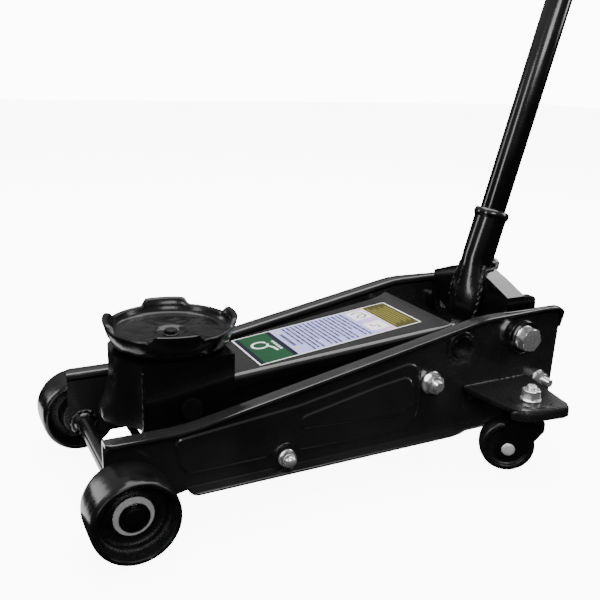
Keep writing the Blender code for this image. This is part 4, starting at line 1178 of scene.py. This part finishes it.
def wing_weld(name, side):
    y, z = side * 93.2, 89.6
    bead("wing_weld_" + name, [(429, y, z), (530, y, z)], 2.2, "frame")


# ---- the whole jack

saddle()
axle()
lift_welds()
yoke_welds()
arm_cap()
label()
fasteners()
lower_tube()
upper_tube()
grip()
spring()
for side_name, side_sign in SIDES:
    for piece in (front_wheel, hub_washer, caster_wheel, axle_pin, rear_flange, side_plate, wing_weld):
        piece(side_name, side_sign)


# ---- camera


def camera():
    """Camera above and ahead of the jack's right side, rolled a little."""
    yaw, pitch, roll = math.radians(27.579), math.radians(16.971), math.radians(1.832)
    eye = (Vector((-160.162, -774.338, 462.925)) + SHIFT) * MM
    forward = Vector((math.sin(yaw) * math.cos(pitch), math.cos(yaw) * math.cos(pitch), -math.sin(pitch)))
    level_right = Vector((math.cos(yaw), -math.sin(yaw), 0.0))
    level_up = level_right.cross(forward)
    right = level_right * math.cos(roll) + level_up * math.sin(roll)
    up = level_up * math.cos(roll) - level_right * math.sin(roll)
    data = bpy.data.cameras.new("camera")
    data.sensor_width = 36.0
    data.lens = 45.7332
    data.clip_start = 0.02
    data.clip_end = 50.0
    obj = bpy.data.objects.new("camera", data)
    bpy.context.collection.objects.link(obj)
    turn = Matrix((right, up, -forward)).transposed().to_4x4()
    obj.matrix_world = Matrix.Translation(eye) @ turn
    bpy.context.scene.camera = obj


# ---- floor, lights and world (in metres)


def floor_piece():
    """Pale floor that is bright to the camera and lights nothing."""
    size, level = 9.0, -0.0005
    bm = bmesh.new()
    corners = ((-size, -size), (size, -size), (size, size), (-size, size))
    bm.faces.new([bm.verts.new((x, y, level)) for x, y in corners])
    mesh = bpy.data.meshes.new("floor")
    bm.to_mesh(mesh)
    bm.free()
    obj = bpy.data.objects.new("floor", mesh)
    bpy.context.collection.objects.link(obj)
    mat, tree, bsdf = shader("floor_white", grey(0.9), 0.0, 0.8)
    grain = noise(tree, coords(tree), 6.0, 2.0)
    tint(tree, bsdf, grain, (0.2, grey(0.90)), (0.8, grey(0.93)))
    bsdf.inputs["Emission Color"].default_value = (1.0, 1.0, 1.0, 1.0)
    bsdf.inputs["Emission Strength"].default_value = 9.0
    obj.data.materials.append(mat)
    obj.visible_glossy = False
    obj.visible_diffuse = False


def card(name, place, target, size, power):
    """Rectangular light at a place, turned to its target."""
    data = bpy.data.lights.new(name, "AREA")
    data.shape = "RECTANGLE"
    data.size, data.size_y = size
    data.energy = power
    obj = bpy.data.objects.new(name, data)
    obj.location = place
    obj.rotation_mode = "QUATERNION"
    obj.rotation_quaternion = (Vector(target) - Vector(place)).to_track_quat("-Z", "Y")
    bpy.context.collection.objects.link(obj)
    return obj


def lights():
    card("overhead", (0.25, 0.35, 2.4), (0.1, 0.1, 0.1), (2.8, 2.4), 112.0)
    card("left_card", (-2.3, -0.5, 1.0), (-0.1, 0, 0.15), (0.45, 1.4), 16.0)
    back_card = card("back_card", (0.9, 2.6, 1.7), (0, 0, 0.2), (2.6, 0.6), 20.0)
    back_card.visible_glossy = False
    card("front_card", (-0.9, -2.3, 1.7), (-0.2, 0, 0.1), (1.3, 0.7), 28.0)
    card("right_card", (2.2, -1.0, 1.2), (0.1, 0, 0.1), (0.6, 1.2), 16.0)
    card("roof_card", (2.3, 1.3, 2.2), (0.1, 0, 0.1), (1.0, 1.0), 13.0)
    low_card = card("low_card", (-0.46, 0.13, 0.003), (-0.46, 0.13, 1.0), (0.10, 0.34), 0.28)
    low_card.visible_camera = False
    card("back_left_card", (-1.7, 1.9, 0.75), (-0.3, 0, 0.1), (0.5, 1.2), 9.0)


def studio_world():
    """Pale backdrop to the camera; dark near the horizon and brighter overhead to everything else."""
    world = bpy.data.worlds.new("studio")
    world.use_nodes = True
    tree = world.node_tree
    seen = tree.nodes["Background"]
    seen.inputs["Color"].default_value = (1.0, 1.0, 1.0, 1.0)
    seen.inputs["Strength"].default_value = 12.0
    split = add(tree, "ShaderNodeSeparateXYZ")
    tree.links.new(add(tree, "ShaderNodeTexCoord").outputs["Generated"], split.inputs[0])
    height = remap(tree, split.outputs["Z"], -1.0, 1.0, 0.0, 1.0)
    levels = ((0.0, 0.01), (0.5, 0.015), (0.56, 0.08), (0.66, 0.19), (0.72, 0.45), (0.85, 0.4), (1.0, 0.6))
    sky = ramp(tree, height, [(place, grey(level)) for place, level in levels])
    lit = add(tree, "ShaderNodeBackground", Strength=1.0)
    tree.links.new(sky, lit.inputs["Color"])
    mix = add(tree, "ShaderNodeMixShader")
    tree.links.new(add(tree, "ShaderNodeLightPath").outputs["Is Camera Ray"], mix.inputs["Fac"])
    tree.links.new(lit.outputs[0], mix.inputs[1])
    tree.links.new(seen.outputs[0], mix.inputs[2])
    tree.links.new(mix.outputs[0], tree.nodes["World Output"].inputs["Surface"])
    bpy.context.scene.world = world


camera()
floor_piece()
lights()
studio_world()
